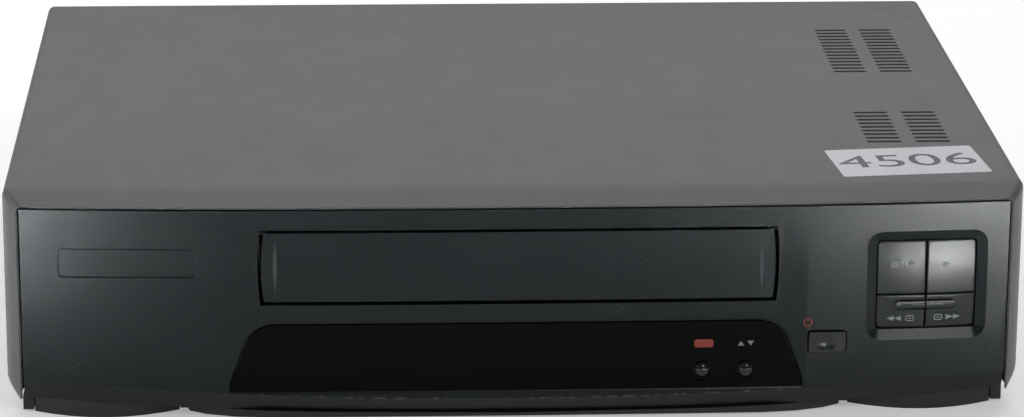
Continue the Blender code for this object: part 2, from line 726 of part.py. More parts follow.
def make_power_button():
    x = (POWER_LEFT, POWER_RIGHT)
    z = (POWER_BOTTOM, POWER_TOP)
    centre = (sum(x) / 2, FRONT + KEY_BACK, sum(z) / 2)
    shape = bmesh.new()
    front = bow(centre[0]) - POWER_PROUD
    edge = rounded_box(x, z, KEY_RADIUS)
    face = rounded_box(shrink(x, KEY_PILLOW), shrink(z, KEY_PILLOW), KEY_RADIUS - KEY_PILLOW)
    add_loft(shape, (
        [(px, FRONT + KEY_BACK, pz) for px, pz in edge],
        [(px, front + KEY_PILLOW, pz) for px, pz in edge],
        [(px, front, pz) for px, pz in face],
    ))
    button = make_object("power_button", shape, CHARCOAL_PLASTIC, centre)
    stem = bmesh.new()
    add_rod(stem, (centre[0], 0.0, centre[2]), (0.0, 1.0, 0.0), STEM_RADIUS,
            (FRONT + KEY_BACK - KEY_PILLOW, FRONT + STEM_END))
    join(button, "stem", stem)
    dish = bmesh.new()
    ring_share, depth_share = POWER_DISH_SHARES
    profile = ((0.0, front - OVERRUN), (POWER_DISH_RADIUS + KEY_PILLOW, front - OVERRUN),
               (POWER_DISH_RADIUS, front),
               (POWER_DISH_RADIUS * ring_share, front + POWER_DISH_DEPTH * depth_share),
               (0.0, front + POWER_DISH_DEPTH))
    add_turned(dish, profile, (centre[0], 0.0, centre[2]), (0.0, 1.0, 0.0), SIDES)
    cut(button, "dish", dish)


def make_dome_button(name, x):
    front = NOSE - BUTTON_PROUD
    profile = [(0.0, front)]
    for i in range(1, ARC_STEPS + 1):
        angle = math.pi / 2 * i / ARC_STEPS
        profile.append((DOME_RADIUS * math.sin(angle), front + DOME_RADIUS / 2 * (1 - math.cos(angle))))
    profile.append((DOME_RADIUS, FRONT + STEM_END))
    profile.append((0.0, FRONT + STEM_END))
    shape = bmesh.new()
    add_turned(shape, profile, (x, 0.0, DOME_Z), (0.0, 1.0, 0.0), KNOB_SIDES)
    make_object(name, shape, CHARCOAL_PLASTIC, (x, FRONT + KEY_BACK, DOME_Z))


# Bottom tray: side walls inside the cover, posts for the boards and the deck, and a lobe below the fascia

TRAY_WALL = 0.0016
TRAY_BOTTOM = 0.0050
TRAY_CLEARANCE = 0.0007
TRAY_STEP = 0.0160
TRAY_TOP = 0.0300
TRAY_SETBACK = 0.0126
TRAY_LOWER_HALF = COVER_HALF - CURL_RADIUS - TRAY_CLEARANCE - TRAY_WALL / 2
TRAY_UPPER_HALF = COVER_HALF - DIMPLE_DEPTH - SHEET - GAP - TRAY_WALL / 2
TRAY_FLOOR = TRAY_BOTTOM + TRAY_WALL
LOBE_BOTTOM = 0.0008
LOBE_SHARE = 0.6865
LOBE_HALF = across(LOBE_SHARE)
LOBE_SETBACK = 0.0113
LOBE_DEPTH = 0.0200
LOBE_NOSE = -0.0015
LOBE_SHARES = ((0.0, 0.0), (0.55, 0.03), (0.74, 0.055), (0.835, 0.17), (0.92, 0.43), (0.972, 0.74),
               (0.978, 1.0), (1.0, 1.0))
END_BLOCK_WIDTH = 0.0041
END_BLOCK_INNER = LIP_HALF - END_BLOCK_WIDTH
REAR_PANEL_THICKNESS = 0.0016
REAR_PANEL_RECESS = 0.0020
PANEL_REAR = REAR - REAR_PANEL_RECESS
PANEL_FRONT = PANEL_REAR - REAR_PANEL_THICKNESS
BOARD_BOTTOM = 0.0100
BOARD_THICKNESS = 0.0016
BOARD_TOP = BOARD_BOTTOM + BOARD_THICKNESS
BOARD_POST_RADIUS = 0.0030
BOARD_POST_SHARES = ((-0.928, 0.155), (-0.928, 0.931), (0.0, 0.138), (0.0, 0.958), (0.464, 0.500),
                     (-0.328, 0.517), (0.464, 0.931), (0.699, 0.200), (0.923, 0.200), (0.699, 0.879),
                     (0.923, 0.879))
DECK_SHARE = 0.628
DECK_SETBACK = 0.0300
DECK_REAR_MARGIN = 0.0280
DECK_HALF = across(DECK_SHARE)
DECK_FRONT = FRONT + DECK_SETBACK
DECK_BACK = REAR - DECK_REAR_MARGIN
DECK_BOTTOM = 0.0170
DECK_THICKNESS = 0.0012
DECK_TOP = DECK_BOTTOM + DECK_THICKNESS
DECK_SEAT = DECK_TOP + GAP
DECK_POST_RADIUS = 0.0040
DECK_POST_INSET = 0.0070
DECK_GAP = 0.0004
DECK_POST_X = DECK_HALF - DECK_POST_INSET
DECK_POST_ROWS = (DECK_FRONT + DECK_POST_INSET, DECK_BACK - DECK_POST_INSET)
REAR_SCREW_INSET = 0.0068
REAR_SCREW_X = TRAY_UPPER_HALF - REAR_SCREW_INSET
REAR_SCREW_Z = 0.0160
REAR_BOSS_RADIUS = 0.0045
REAR_BOSS_DEPTH = 0.0120


def add_post(shape, x, y, radius, top):
    """A round post standing on the tray's floor."""
    add_rod(shape, (x, y, 0.0), (0.0, 0.0, 1.0), radius, (TRAY_BOTTOM + TRAY_WALL / 2, top))


def make_tray():
    walls = ((TRAY_UPPER_HALF, TRAY_TOP), (TRAY_UPPER_HALF, TRAY_STEP), (TRAY_LOWER_HALF, TRAY_STEP),
             (TRAY_LOWER_HALF, TRAY_BOTTOM + TRAY_WALL / 2))
    profile = list(walls) + [(-x, z) for x, z in walls[::-1]]
    shape = bmesh.new()
    back = PANEL_FRONT - GAP
    add_prism(shape, strip(profile, TRAY_WALL), "Y", (FRONT + FASCIA_DEPTH + GAP, back))
    tray = make_object("bottom_tray", shape, BLACK_PLASTIC)

    extras = bmesh.new()
    outer = TRAY_LOWER_HALF + TRAY_WALL / 2
    add_box(extras, both(outer), (FRONT + TRAY_SETBACK, FRONT + LOBE_DEPTH), (TRAY_BOTTOM, TRAY_FLOOR))
    rings = []
    right = [(share_x * LOBE_HALF, share_y) for share_x, share_y in LOBE_SHARES]
    for x, share in [(-x, share) for x, share in right[:0:-1]] + right:
        front = FRONT + LOBE_NOSE + (LOBE_SETBACK - LOBE_NOSE) * share
        top = edge_height(x) - GAP
        inner = max(bow(x) + EDGE_SETBACK + WALL + GAP, front + SLIVER)
        floor = TRAY_FLOOR - SLIVER
        rings.append(((x, front, LOBE_BOTTOM), (x, front, top), (x, inner, top), (x, inner, floor),
                      (x, FRONT + LOBE_DEPTH, floor), (x, FRONT + LOBE_DEPTH, LOBE_BOTTOM)))
    add_loft(extras, rings)
    for side in (-1, 1):
        x = sorted((side * END_BLOCK_INNER, side * LIP_HALF))
        add_box(extras, x, (FRONT + LOBE_SETBACK, FRONT + LOBE_DEPTH), (LOBE_BOTTOM, TRAY_FLOOR - SLIVER))
        for row in DECK_POST_ROWS:
            add_post(extras, side * DECK_POST_X, row, DECK_POST_RADIUS, DECK_BOTTOM - GAP)
        boss = (back - REAR_BOSS_DEPTH, back)
        add_rod(extras, (side * REAR_SCREW_X, 0.0, REAR_SCREW_Z), (0.0, 1.0, 0.0), REAR_BOSS_RADIUS, boss)
        rib = both(TRAY_WALL / 2, side * REAR_SCREW_X)
        add_box(extras, rib, (boss[0] + SLIVER, boss[1] - SLIVER), (TRAY_FLOOR - SLIVER, REAR_SCREW_Z))
    for shares in BOARD_POST_SHARES:
        add_post(extras, *spot(shares), BOARD_POST_RADIUS, BOARD_BOTTOM - GAP)
    join(tray, "lobe_and_posts", extras)

    holes = bmesh.new()
    for side in (-1, 1):
        for row in SCREW_ROWS:
            hole = (TRAY_UPPER_HALF - OVERRUN, TRAY_UPPER_HALF + OVERRUN)
            add_rod(holes, (0.0, row, SCREW_HEIGHT), (side, 0.0, 0.0), SCREW_RADIUS + GAP, hole)
        hole = (PANEL_REAR - SCREW_LENGTH, PANEL_REAR)
        add_rod(holes, (side * REAR_SCREW_X, 0.0, REAR_SCREW_Z), (0.0, 1.0, 0.0), SCREW_RADIUS + GAP, hole)
    cut(tray, "screw_holes", holes)


# Feet: two long lobes at the front, two round pads at the rear

FOOT_CENTRE = (LOBE_HALF + END_BLOCK_INNER) / 2
FOOT_HALF = (END_BLOCK_INNER - LOBE_HALF) / 2 - GAP
FOOT_NOSE = 0.0036
FOOT_CORNER = 0.0116
FOOT_BACK = 0.0320
FOOT_COLUMNS = 9
PAD_RADIUS = 0.0110
PAD_SHARES = (0.819, 0.903)
PAD_X, PAD_Y = spot(PAD_SHARES)


def make_feet():
    for label, side in (("left", -1), ("right", 1)):
        rings = []
        for share in spread(-1.0, 1.0, FOOT_COLUMNS):
            x = side * (FOOT_CENTRE + FOOT_HALF * share)
            front = FRONT + FOOT_NOSE + (FOOT_CORNER - FOOT_NOSE) * share ** 2
            step = FRONT + TRAY_SETBACK - GAP
            low = TRAY_BOTTOM - GAP
            rings.append(((x, front, 0.0), (x, front, max(edge_height(x) - GAP, low + GAP)),
                          (x, step, max(edge_height(x) - GAP, low + GAP)), (x, step, low),
                          (x, FRONT + FOOT_BACK, low), (x, FRONT + FOOT_BACK, 0.0)))
        shape = bmesh.new()
        add_loft(shape, rings)
        make_object("front_foot_" + label, shape, BLACK_PLASTIC)
        pad = bmesh.new()
        add_rod(pad, (side * PAD_X, PAD_Y, 0.0), (0.0, 0.0, 1.0), PAD_RADIUS, (0.0, TRAY_BOTTOM - GAP), SIDES)
        make_object("rear_foot_" + label, pad, BLACK_RUBBER)


# Rear panel and its sockets

SCART_HALF = 0.0235
SCART_TOP = 0.0305
SCART_LENGTH = 0.0195
SCART_PITCH = 0.0570
SCART_SHARE = -0.3004
SCART_PLACES = (across(SCART_SHARE), across(SCART_SHARE) - SCART_PITCH)
SOCKET_REAR = 0.0005
SCART_SHELL = 0.0016
SCART_TONGUE = 0.0038
SCART_CAVITY = 0.0100

TUNER_X_SHARES = (0.082, 0.382)
TUNER_LENGTH = 0.0216
TUNER_TOP = 0.0500
AERIAL_X_SHARES = (0.158, 0.289)
AERIAL_IN_X, AERIAL_OUT_X = map(across, AERIAL_X_SHARES)
AERIAL_Z = 0.0340
AERIAL_RADIUS = 0.0048
AERIAL_BORE = 0.0012
AERIAL_SLEEVE = 0.0007
AERIAL_PIN = 0.0011
AERIAL_IN_PROUD = 0.0060

INLET_SHARE = 0.819
INLET_X = across(INLET_SHARE)
INLET_HALF = 0.0130
INLET_TOP = 0.0290
INLET_LENGTH = 0.0215
INLET_STEPS = 9
INLET_RADIUS = 0.0050
INLET_PITCH = 0.0044
INLET_DEPTH = 0.0105
INLET_PIN_RADIUS = 0.0011
INLET_PIN_LENGTH = 0.0085
INLET_Z = (BOARD_TOP + GAP + INLET_TOP) / 2
SOCKET_Z = BOARD_TOP + GAP
SOCKET_END = REAR - SOCKET_REAR


def make_rear_panel():
    outer = TRAY_UPPER_HALF + TRAY_WALL / 2
    lower = TRAY_LOWER_HALF + TRAY_WALL / 2
    step = TRAY_STEP - TRAY_WALL / 2
    top = HEIGHT - SHEET - GAP
    outline = ((-lower, TRAY_BOTTOM), (lower, TRAY_BOTTOM), (lower, step), (outer, step),
               (outer, top - CORNER_RADIUS), (outer - CORNER_RADIUS, top), (CORNER_RADIUS - outer, top),
               (-outer, top - CORNER_RADIUS), (-outer, step), (-lower, step))
    shape = bmesh.new()
    add_prism(shape, outline, "Y", (PANEL_FRONT, PANEL_REAR))
    panel = make_object("rear_panel", shape, BLACK_PLASTIC)
    holes = bmesh.new()
    through = (PANEL_FRONT - OVERRUN, PANEL_REAR + OVERRUN)
    for x in SCART_PLACES:
        add_box(holes, both(SCART_HALF + GAP, x), through, (SOCKET_Z - GAP, SCART_TOP + GAP))
    add_box(holes, both(INLET_HALF + GAP, INLET_X), through, (SOCKET_Z - GAP, INLET_TOP + GAP))
    for x in (AERIAL_IN_X, AERIAL_OUT_X):
        add_rod(holes, (x, 0.0, AERIAL_Z), (0.0, 1.0, 0.0), AERIAL_RADIUS + GAP, through)
    for side in (-1, 1):
        add_rod(holes, (side * REAR_SCREW_X, 0.0, REAR_SCREW_Z), (0.0, 1.0, 0.0), SCREW_RADIUS + GAP, through)
    cut(panel, "holes", holes)
    for label, side in (("left", -1), ("right", 1)):
        screw = bmesh.new()
        add_turned(screw, screw_profile(PANEL_REAR + GAP), (side * REAR_SCREW_X, 0.0, REAR_SCREW_Z),
                   (0.0, 1.0, 0.0), SMALL_SIDES)
        make_object("rear_screw_" + label, screw, ZINC_STEEL)


def make_scart_sockets():
    for number, x in enumerate(SCART_PLACES, 1):
        body = bmesh.new()
        add_box(body, both(SCART_HALF, x), (SOCKET_END - SCART_LENGTH, SOCKET_END), (SOCKET_Z, SCART_TOP))
        socket = make_object("scart_socket_" + str(number), body, BLACK_PLASTIC)
        inner = both(SCART_HALF - SCART_SHELL, x)
        z = (SOCKET_Z + SCART_SHELL, SCART_TOP - SCART_SHELL)
        slant = SCART_TONGUE
        outline = ((inner[0], z[0]), (inner[1] - slant, z[0]), (inner[1], z[0] + slant), (inner[1], z[1]),
                   (inner[0], z[1]))
        cavity = bmesh.new()
        add_prism(cavity, outline, "Y", (SOCKET_END - SCART_CAVITY, SOCKET_END + OVERRUN))
        cut(socket, "cavity", cavity)
        tongue = bmesh.new()
        add_box(tongue, shrink(inner, SCART_TONGUE), (SOCKET_END - SCART_CAVITY - SLIVER,
                                                      SOCKET_END - SCART_SHELL), shrink(z, SCART_TONGUE))
        join(socket, "tongue", tongue)


def make_aerial_sockets():
    can = bmesh.new()
    back = PANEL_FRONT - GAP
    add_box(can, tuple(map(across, TUNER_X_SHARES)), (back - TUNER_LENGTH, back), (SOCKET_Z, TUNER_TOP))
    make_object("tuner_modulator", can, ZINC_STEEL)
    start = PANEL_FRONT
    end = REAR + AERIAL_IN_PROUD
    profile = ((0.0, start), (AERIAL_RADIUS, start), (AERIAL_RADIUS, end), (AERIAL_BORE, end),
               (AERIAL_BORE, PANEL_REAR), (0.0, PANEL_REAR))
    shape = bmesh.new()
    add_turned(shape, profile, (AERIAL_IN_X, 0.0, AERIAL_Z), (0.0, 1.0, 0.0), KNOB_SIDES)
    make_object("aerial_in_socket", shape, ZINC_STEEL)
    end = REAR + SOCKET_PROUD
    inner = AERIAL_RADIUS - AERIAL_SLEEVE
    profile = ((0.0, start), (AERIAL_RADIUS, start), (AERIAL_RADIUS, end), (inner, end), (inner, PANEL_REAR),
               (AERIAL_PIN, PANEL_REAR), (AERIAL_PIN, end - AERIAL_SLEEVE), (0.0, end - AERIAL_SLEEVE))
    shape = bmesh.new()
    add_turned(shape, profile, (AERIAL_OUT_X, 0.0, AERIAL_Z), (0.0, 1.0, 0.0), KNOB_SIDES)
    make_object("aerial_out_plug", shape, ZINC_STEEL)


def make_mains_inlet():
    body = bmesh.new()
    add_box(body, both(INLET_HALF, INLET_X), (SOCKET_END - INLET_LENGTH, SOCKET_END), (SOCKET_Z, INLET_TOP))
    inlet = make_object("mains_inlet", body, BLACK_PLASTIC)
    half = math.acos(INLET_PITCH / INLET_RADIUS)
    outline = []
    for turn in (0.0, math.pi):
        for i in range(INLET_STEPS):
            angle = turn + (math.pi - half) * (2 * i / INLET_STEPS - 1)
            outline.append((INLET_X + INLET_PITCH * math.cos(turn) + INLET_RADIUS * math.cos(angle),
                            INLET_Z + INLET_RADIUS * math.sin(angle)))
    cavity = bmesh.new()
    add_prism(cavity, outline, "Y", (SOCKET_END - INLET_DEPTH, SOCKET_END + OVERRUN))
    cut(inlet, "cavity", cavity)
    pins = bmesh.new()
    for x in both(INLET_PITCH, INLET_X):
        pin = (SOCKET_END - INLET_DEPTH - SLIVER, SOCKET_END - INLET_DEPTH + INLET_PIN_LENGTH)
        add_rod(pins, (x, 0.0, INLET_Z), (0.0, 1.0, 0.0), INLET_PIN_RADIUS, pin, PIN_SIDES)
    join(inlet, "pins", pins)


# Circuit boards and what stands on them

BOARD_CLEARANCE = 0.0085
BOARD_REAR_MARGIN = 0.0060
BOARD_SPACING = 0.0040
BOARD_EDGE = TRAY_LOWER_HALF - BOARD_CLEARANCE
BOARD_BACK = REAR - BOARD_REAR_MARGIN
MAIN_RIGHT_SHARE = 0.644
MAIN_RIGHT = across(MAIN_RIGHT_SHARE)
MAIN_SETBACK = 0.0300
SCREEN_X_SHARES = (-0.939, -0.688)
SCREEN_Y_SHARES = (0.214, 0.428)
SCREEN_TOP = 0.0260
CHIP_SHARES = ((-0.49, -0.33, 0.276, 0.345), (-0.16, -0.03, 0.328, 0.386), (0.22, 0.355, 0.241, 0.310),
               (-0.52, -0.41, 0.690, 0.759))
CHIP_HEIGHT = 0.0025
CAPACITOR_SHARES = ((-0.901, 0.483), (-0.819, 0.483), (-0.737, 0.483), (-0.874, 0.690), (-0.765, 0.690))
CAPACITOR_RADIUS = 0.0050
CAPACITOR_TOP = 0.0280

POWER_BOARD_LEFT = MAIN_RIGHT + BOARD_SPACING
POWER_BOARD_SETBACK = 0.0500
BULK_SHARES = ((0.765, 0.276), (0.765, 0.534))
BULK_RADIUS = 0.0090
BULK_TOP = 0.0420

TRANSFORMER_SHARES = (0.819, 0.752)
TRANSFORMER_HALF = 0.0200
TRANSFORMER_TOP = 0.0460
CORE_HALF = 0.0080
COIL_HALF = 0.0120
COIL_PROUD = 0.0080
COIL_DROP = 0.0040

SINK_X_SHARES = (0.699, 0.939)
SINK_Y_SHARE = 0.386
SINK_DEPTH = 0.0140
SINK_PLATE = 0.0025
SINK_FIN = 0.0016
SINK_FINS = 7
SINK_TOP = 0.0560

KEY_BOARD_SHARE = -0.546
KEY_BOARD_MARGIN = 0.0009
KEY_BOARD_BOTTOM = 0.0100
KEY_BOARD_DROP = 0.0044
KEY_BOARD_SHOULDER_GAP = 0.0008
KEY_BOARD_STEP_GAP = 0.0039
TUBE_SHARE = 0.262
TUBE_Z_SHARES = (0.149, 0.391)
TUBE_DEPTH = 0.0070


def make_main_board():
    shape = bmesh.new()
    add_box(shape, (-BOARD_EDGE, MAIN_RIGHT), (FRONT + MAIN_SETBACK, BOARD_BACK), (BOARD_BOTTOM, BOARD_TOP))
    board = make_object("main_board", shape, BOARD_BROWN)
    extras = bmesh.new()
    low = BOARD_TOP - BOARD_THICKNESS / 2
    can = (tuple(map(across, SCREEN_X_SHARES)), tuple(map(along, SCREEN_Y_SHARES)))
    add_box(extras, *can, (low, SCREEN_TOP))
    for left, right, front, back in CHIP_SHARES:
        add_box(extras, (across(left), across(right)), (along(front), along(back)),
                (low, BOARD_TOP + CHIP_HEIGHT))
    for shares in CAPACITOR_SHARES:
        add_rod(extras, (*spot(shares), 0.0), (0.0, 0.0, 1.0), CAPACITOR_RADIUS, (low, CAPACITOR_TOP))
    join(board, "components", extras)
    holes = bmesh.new()
    for x in both(DECK_POST_X):
        for row in DECK_POST_ROWS:
            add_rod(holes, (x, row, 0.0), (0.0, 0.0, 1.0), DECK_POST_RADIUS + DECK_GAP,
                    (BOARD_BOTTOM - OVERRUN, BOARD_TOP + OVERRUN))
    cut(board, "post_holes", holes)


def make_power_supply():
    shape = bmesh.new()
    add_box(shape, (POWER_BOARD_LEFT, BOARD_EDGE), (FRONT + POWER_BOARD_SETBACK, BOARD_BACK),
            (BOARD_BOTTOM, BOARD_TOP))
    board = make_object("power_board", shape, BOARD_BROWN)
    extras = bmesh.new()
    for shares in BULK_SHARES:
        add_rod(extras, (*spot(shares), 0.0), (0.0, 0.0, 1.0), BULK_RADIUS,
                (BOARD_TOP - BOARD_THICKNESS / 2, BULK_TOP))
    join(board, "capacitors", extras)

    shape = bmesh.new()
    x, y = spot(TRANSFORMER_SHARES)
    add_box(shape, both(TRANSFORMER_HALF, x), both(CORE_HALF, y), (SOCKET_Z, TRANSFORMER_TOP))
    transformer = make_object("power_transformer", shape, CORE_IRON)
    coil = bmesh.new()
    add_box(coil, both(COIL_HALF, x), both(CORE_HALF + COIL_PROUD, y),
            (SOCKET_Z + COIL_DROP, TRANSFORMER_TOP - COIL_DROP))
    join(transformer, "coil", coil)

    left, right = map(across, SINK_X_SHARES)
    front = along(SINK_Y_SHARE)
    outline = [(left, front), (right, front), (right, front + SINK_DEPTH)]
    for x in spread(right - SINK_FIN / 2, left + SINK_FIN / 2, SINK_FINS):
        if x < right - SINK_FIN:
            outline.append((x + SINK_FIN / 2, front + SINK_PLATE))
            outline.append((x + SINK_FIN / 2, front + SINK_DEPTH))
        outline.append((x - SINK_FIN / 2, front + SINK_DEPTH))
        if x > left + SINK_FIN:
            outline.append((x - SINK_FIN / 2, front + SINK_PLATE))
    sink = bmesh.new()
    add_prism(sink, outline, "Z", (SOCKET_Z, SINK_TOP))
    make_object("heat_sink", sink, ALUMINIUM)


def make_key_board():
    left = across(KEY_BOARD_SHARE)
    right = FASCIA_HALF - WALL - KEY_BOARD_MARGIN
    top = FASCIA_TOP - KEY_BOARD_DROP
    shoulder = SLOT_BOTTOM - CHUTE_WALL - KEY_BOARD_SHOULDER_GAP
    step = SLOT_CENTRE + SLOT_HALF + CHUTE_WALL + KEY_BOARD_STEP_GAP
    outline = ((left, KEY_BOARD_BOTTOM), (right, KEY_BOARD_BOTTOM), (right, top), (step, top),
               (step, shoulder), (left, shoulder))
    y = (FRONT + KEY_BOARD_SETBACK, FRONT + KEY_BOARD_SETBACK + KEY_BOARD_THICKNESS)
    shape = bmesh.new()
    add_prism(shape, outline, "Y", y)
    board = make_object("key_board", shape, BOARD_BROWN)
    switches = bmesh.new()
    places = [(sum(x) / 2, sum(z) / 2) for name, x, z in key_spans()]
    places.append(((POWER_LEFT + POWER_RIGHT) / 2, (POWER_BOTTOM + POWER_TOP) / 2))
    places.extend(((RECORD_X, DOME_Z), (CHANNEL_X, DOME_Z)))
    for x, z in places:
        add_box(switches, both(SWITCH_HALF, x), (y[0] - SWITCH_HEIGHT, y[0] + KEY_BOARD_THICKNESS / 2),
                both(SWITCH_HALF, z))
    join(board, "switches", switches)
    tube = bmesh.new()
    depth = (y[0] - GAP - TUBE_DEPTH, y[0] - GAP)
    add_box(tube, both(across(TUBE_SHARE)), depth, tuple(map(up, TUBE_Z_SHARES)))
    make_object("display_tube", tube, SMOKED_GLASS)


# Deck plate, with slots for the tape guides and a hole for the capstan

GUIDE_SHARES = (0.2294, 0.6137)
GUIDE_X, GUIDE_Y = spot(GUIDE_SHARES)
GUIDE_TRAVEL = 0.0440
GUIDE_KEY_RADIUS = 0.0017
CAPSTAN_SHARES = (0.3823, 0.6275)
CAPSTAN_X, CAPSTAN_Y = spot(CAPSTAN_SHARES)
CAPSTAN_RADIUS = 0.0015


def make_deck():
    shape = bmesh.new()
    add_box(shape, both(DECK_HALF), (DECK_FRONT, DECK_BACK), (DECK_BOTTOM, DECK_TOP))
    deck = make_object("deck_plate", shape, ZINC_STEEL)
    holes = bmesh.new()
    through = (DECK_BOTTOM - OVERRUN, DECK_TOP + OVERRUN)
    half = GUIDE_KEY_RADIUS + DECK_GAP
    for x in both(GUIDE_X):
        y = (GUIDE_Y - half, GUIDE_Y + GUIDE_TRAVEL + half)
        add_prism(holes, rounded_box(both(half, x), y, half - GAP / 2), "Z", through)
    add_rod(holes, (CAPSTAN_X, CAPSTAN_Y, 0.0), (0.0, 0.0, 1.0), CAPSTAN_RADIUS + DECK_GAP, through)
    cut(deck, "holes", holes)


# Cassette carriage: brackets on the deck, a carrier that slides back in them and a basket that drops in it

METAL = 0.0010
CARRIAGE_PIN_RADIUS = 0.0012
PIN_GAP = 0.0004
BASKET_FIT = 0.0001
BASKET_FIT_LOW = 0.0007
BASKET_FIT_HIGH = 0.0006
BASKET_HALF = SLOT_HALF + BASKET_FIT
BASKET_BOTTOM = SLOT_BOTTOM + BASKET_FIT_LOW
BASKET_TOP = SLOT_TOP - BASKET_FIT_HIGH
BASKET_SETBACK = 0.0250
BASKET_LENGTH = 0.0850
BASKET_FRONT = FRONT + BASKET_SETBACK
BASKET_BACK = BASKET_FRONT + BASKET_LENGTH
BASKET_FLANGE = 0.0095
BASKET_DROP = 0.0200
BASKET_PIN_DROP = 0.0142
BASKET_PIN_Z = BASKET_TOP - BASKET_PIN_DROP
BASKET_WINDOW_INSET = 0.0200
BASKET_WINDOW_SHARE = 0.625
BASKET_ROWS = (BASKET_FRONT + BASKET_WINDOW_INSET, BASKET_BACK - BASKET_WINDOW_INSET)
CARRIAGE_STEP = 0.0020
CARRIER_HEIGHT = 0.0395
CARRIER_RISE = 0.0013
CARRIER_HALF = BASKET_HALF + CARRIAGE_STEP
CARRIER_TOP = BASKET_TOP + CARRIER_RISE
CARRIER_BOTTOM = CARRIER_TOP - CARRIER_HEIGHT
CARRIER_SETIN = 0.0050
CARRIER_FRONT = BASKET_FRONT + CARRIER_SETIN
CARRIER_BAR_FRONT = 0.0300
CARRIER_BAR_BACK = 0.0200
CARRIER_TRAVEL = 0.0620
CARRIER_PIN_DROP = 0.0075
CARRIER_PIN_Z = CARRIER_TOP - CARRIER_PIN_DROP
CARRIER_PIN_FRONT = 0.0100
CARRIER_PIN_BACK = 0.0150
CARRIER_ROWS = (CARRIER_FRONT + CARRIER_PIN_FRONT, BASKET_BACK - CARRIER_PIN_BACK)
BRACKET_SHEET = 0.0012
BRACKET_FOOT = 0.0100
BRACKET_END_MARGIN = 0.0080
BRACKET_RISE = 0.0005
BRACKET_INNER = CARRIER_HALF + CARRIAGE_STEP
BRACKET_TOP = CARRIER_TOP + BRACKET_RISE
STAY_SETIN = 0.0300
STAY_WIDTH = 0.0200


def make_carriage_brackets():
    for label, side in (("left", -1), ("right", 1)):
        middle = BRACKET_INNER + BRACKET_SHEET / 2
        low = DECK_SEAT + BRACKET_SHEET / 2
        points = ((side * middle, BRACKET_TOP), (side * middle, low), (side * (middle + BRACKET_FOOT), low))
        shape = bmesh.new()
        end = CARRIER_ROWS[1] + CARRIER_TRAVEL + BRACKET_END_MARGIN
        add_prism(shape, strip(points, BRACKET_SHEET), "Y", (CARRIER_FRONT, end))
        bracket = make_object("carriage_bracket_" + label, shape, ZINC_STEEL)
        slot = bmesh.new()
        half = CARRIAGE_PIN_RADIUS + PIN_GAP
        y = (CARRIER_ROWS[0] - half, CARRIER_ROWS[1] + CARRIER_TRAVEL + half)
        x = sorted((side * (BRACKET_INNER - OVERRUN), side * (BRACKET_INNER + BRACKET_SHEET + OVERRUN)))
        add_box(slot, x, y, both(half, CARRIER_PIN_Z))
        cut(bracket, "slot", slot)
    stay = bmesh.new()
    front = CARRIER_FRONT + STAY_SETIN
    add_box(stay, both(BRACKET_INNER + BRACKET_SHEET), (front, front + STAY_WIDTH),
            (BRACKET_TOP + GAP, BRACKET_TOP + GAP + BRACKET_SHEET))
    make_object("carriage_top_stay", stay, ZINC_STEEL)


def make_carrier():
    points = ((-CARRIER_HALF, CARRIER_BOTTOM), (-CARRIER_HALF, CARRIER_TOP), (CARRIER_HALF, CARRIER_TOP),
              (CARRIER_HALF, CARRIER_BOTTOM))
    shape = bmesh.new()
    add_prism(shape, strip(points, METAL), "Y", (CARRIER_FRONT, BASKET_BACK))
    carrier = make_object("basket_carrier", shape, ZINC_STEEL, (0.0, BASKET_BACK, CARRIER_PIN_Z))
    windows = bmesh.new()
    inner = both(CARRIER_HALF - BRACKET_FOOT)
    top = (CARRIER_TOP - OVERRUN, CARRIER_TOP + OVERRUN)
    add_box(windows, inner, (CARRIER_FRONT - OVERRUN, CARRIER_FRONT + CARRIER_BAR_FRONT), top)
    add_box(windows, inner, (BASKET_BACK - CARRIER_BAR_BACK, BASKET_BACK + OVERRUN), top)
    half = CARRIAGE_PIN_RADIUS + PIN_GAP
    for side in (-1, 1):
        x = sorted((side * (CARRIER_HALF - OVERRUN), side * (CARRIER_HALF + OVERRUN)))
        for row in BASKET_ROWS:
            z = (BASKET_PIN_Z - BASKET_DROP - half, BASKET_PIN_Z + half)
            add_box(windows, x, both(half, row), z)
    cut(carrier, "windows", windows)
    pins = bmesh.new()
    reach = (CARRIER_HALF, BRACKET_INNER + BRACKET_SHEET)
    for side in (-1, 1):
        for row in CARRIER_ROWS:
            add_rod(pins, (0.0, row, CARRIER_PIN_Z), (side, 0.0, 0.0), CARRIAGE_PIN_RADIUS, reach, PIN_SIDES)
    join(carrier, "pins", pins)


def make_basket():
    corners = ((BASKET_HALF - BASKET_FLANGE, BASKET_BOTTOM), (BASKET_HALF, BASKET_BOTTOM),
               (BASKET_HALF, BASKET_TOP))
    points = [(-x, z) for x, z in corners] + list(corners[::-1])
    shape = bmesh.new()
    add_prism(shape, strip(points, METAL), "Y", (BASKET_FRONT, BASKET_BACK))
    basket = make_object("cassette_basket", shape, ZINC_STEEL, (0.0, BASKET_BACK, BASKET_TOP))
    window = bmesh.new()
    add_box(window, both(BASKET_HALF * BASKET_WINDOW_SHARE), BASKET_ROWS,
            (BASKET_TOP - OVERRUN, BASKET_TOP + OVERRUN))
    cut(basket, "window", window)
    pins = bmesh.new()
    for side in (-1, 1):
        for row in BASKET_ROWS:
            add_rod(pins, (0.0, row, BASKET_PIN_Z), (side, 0.0, 0.0), CARRIAGE_PIN_RADIUS,
                    (BASKET_HALF, CARRIER_HALF + METAL / 2), PIN_SIDES)
    join(basket, "pins", pins)


# Head drum: a fixed lower half and a turning upper half on a tilted axis

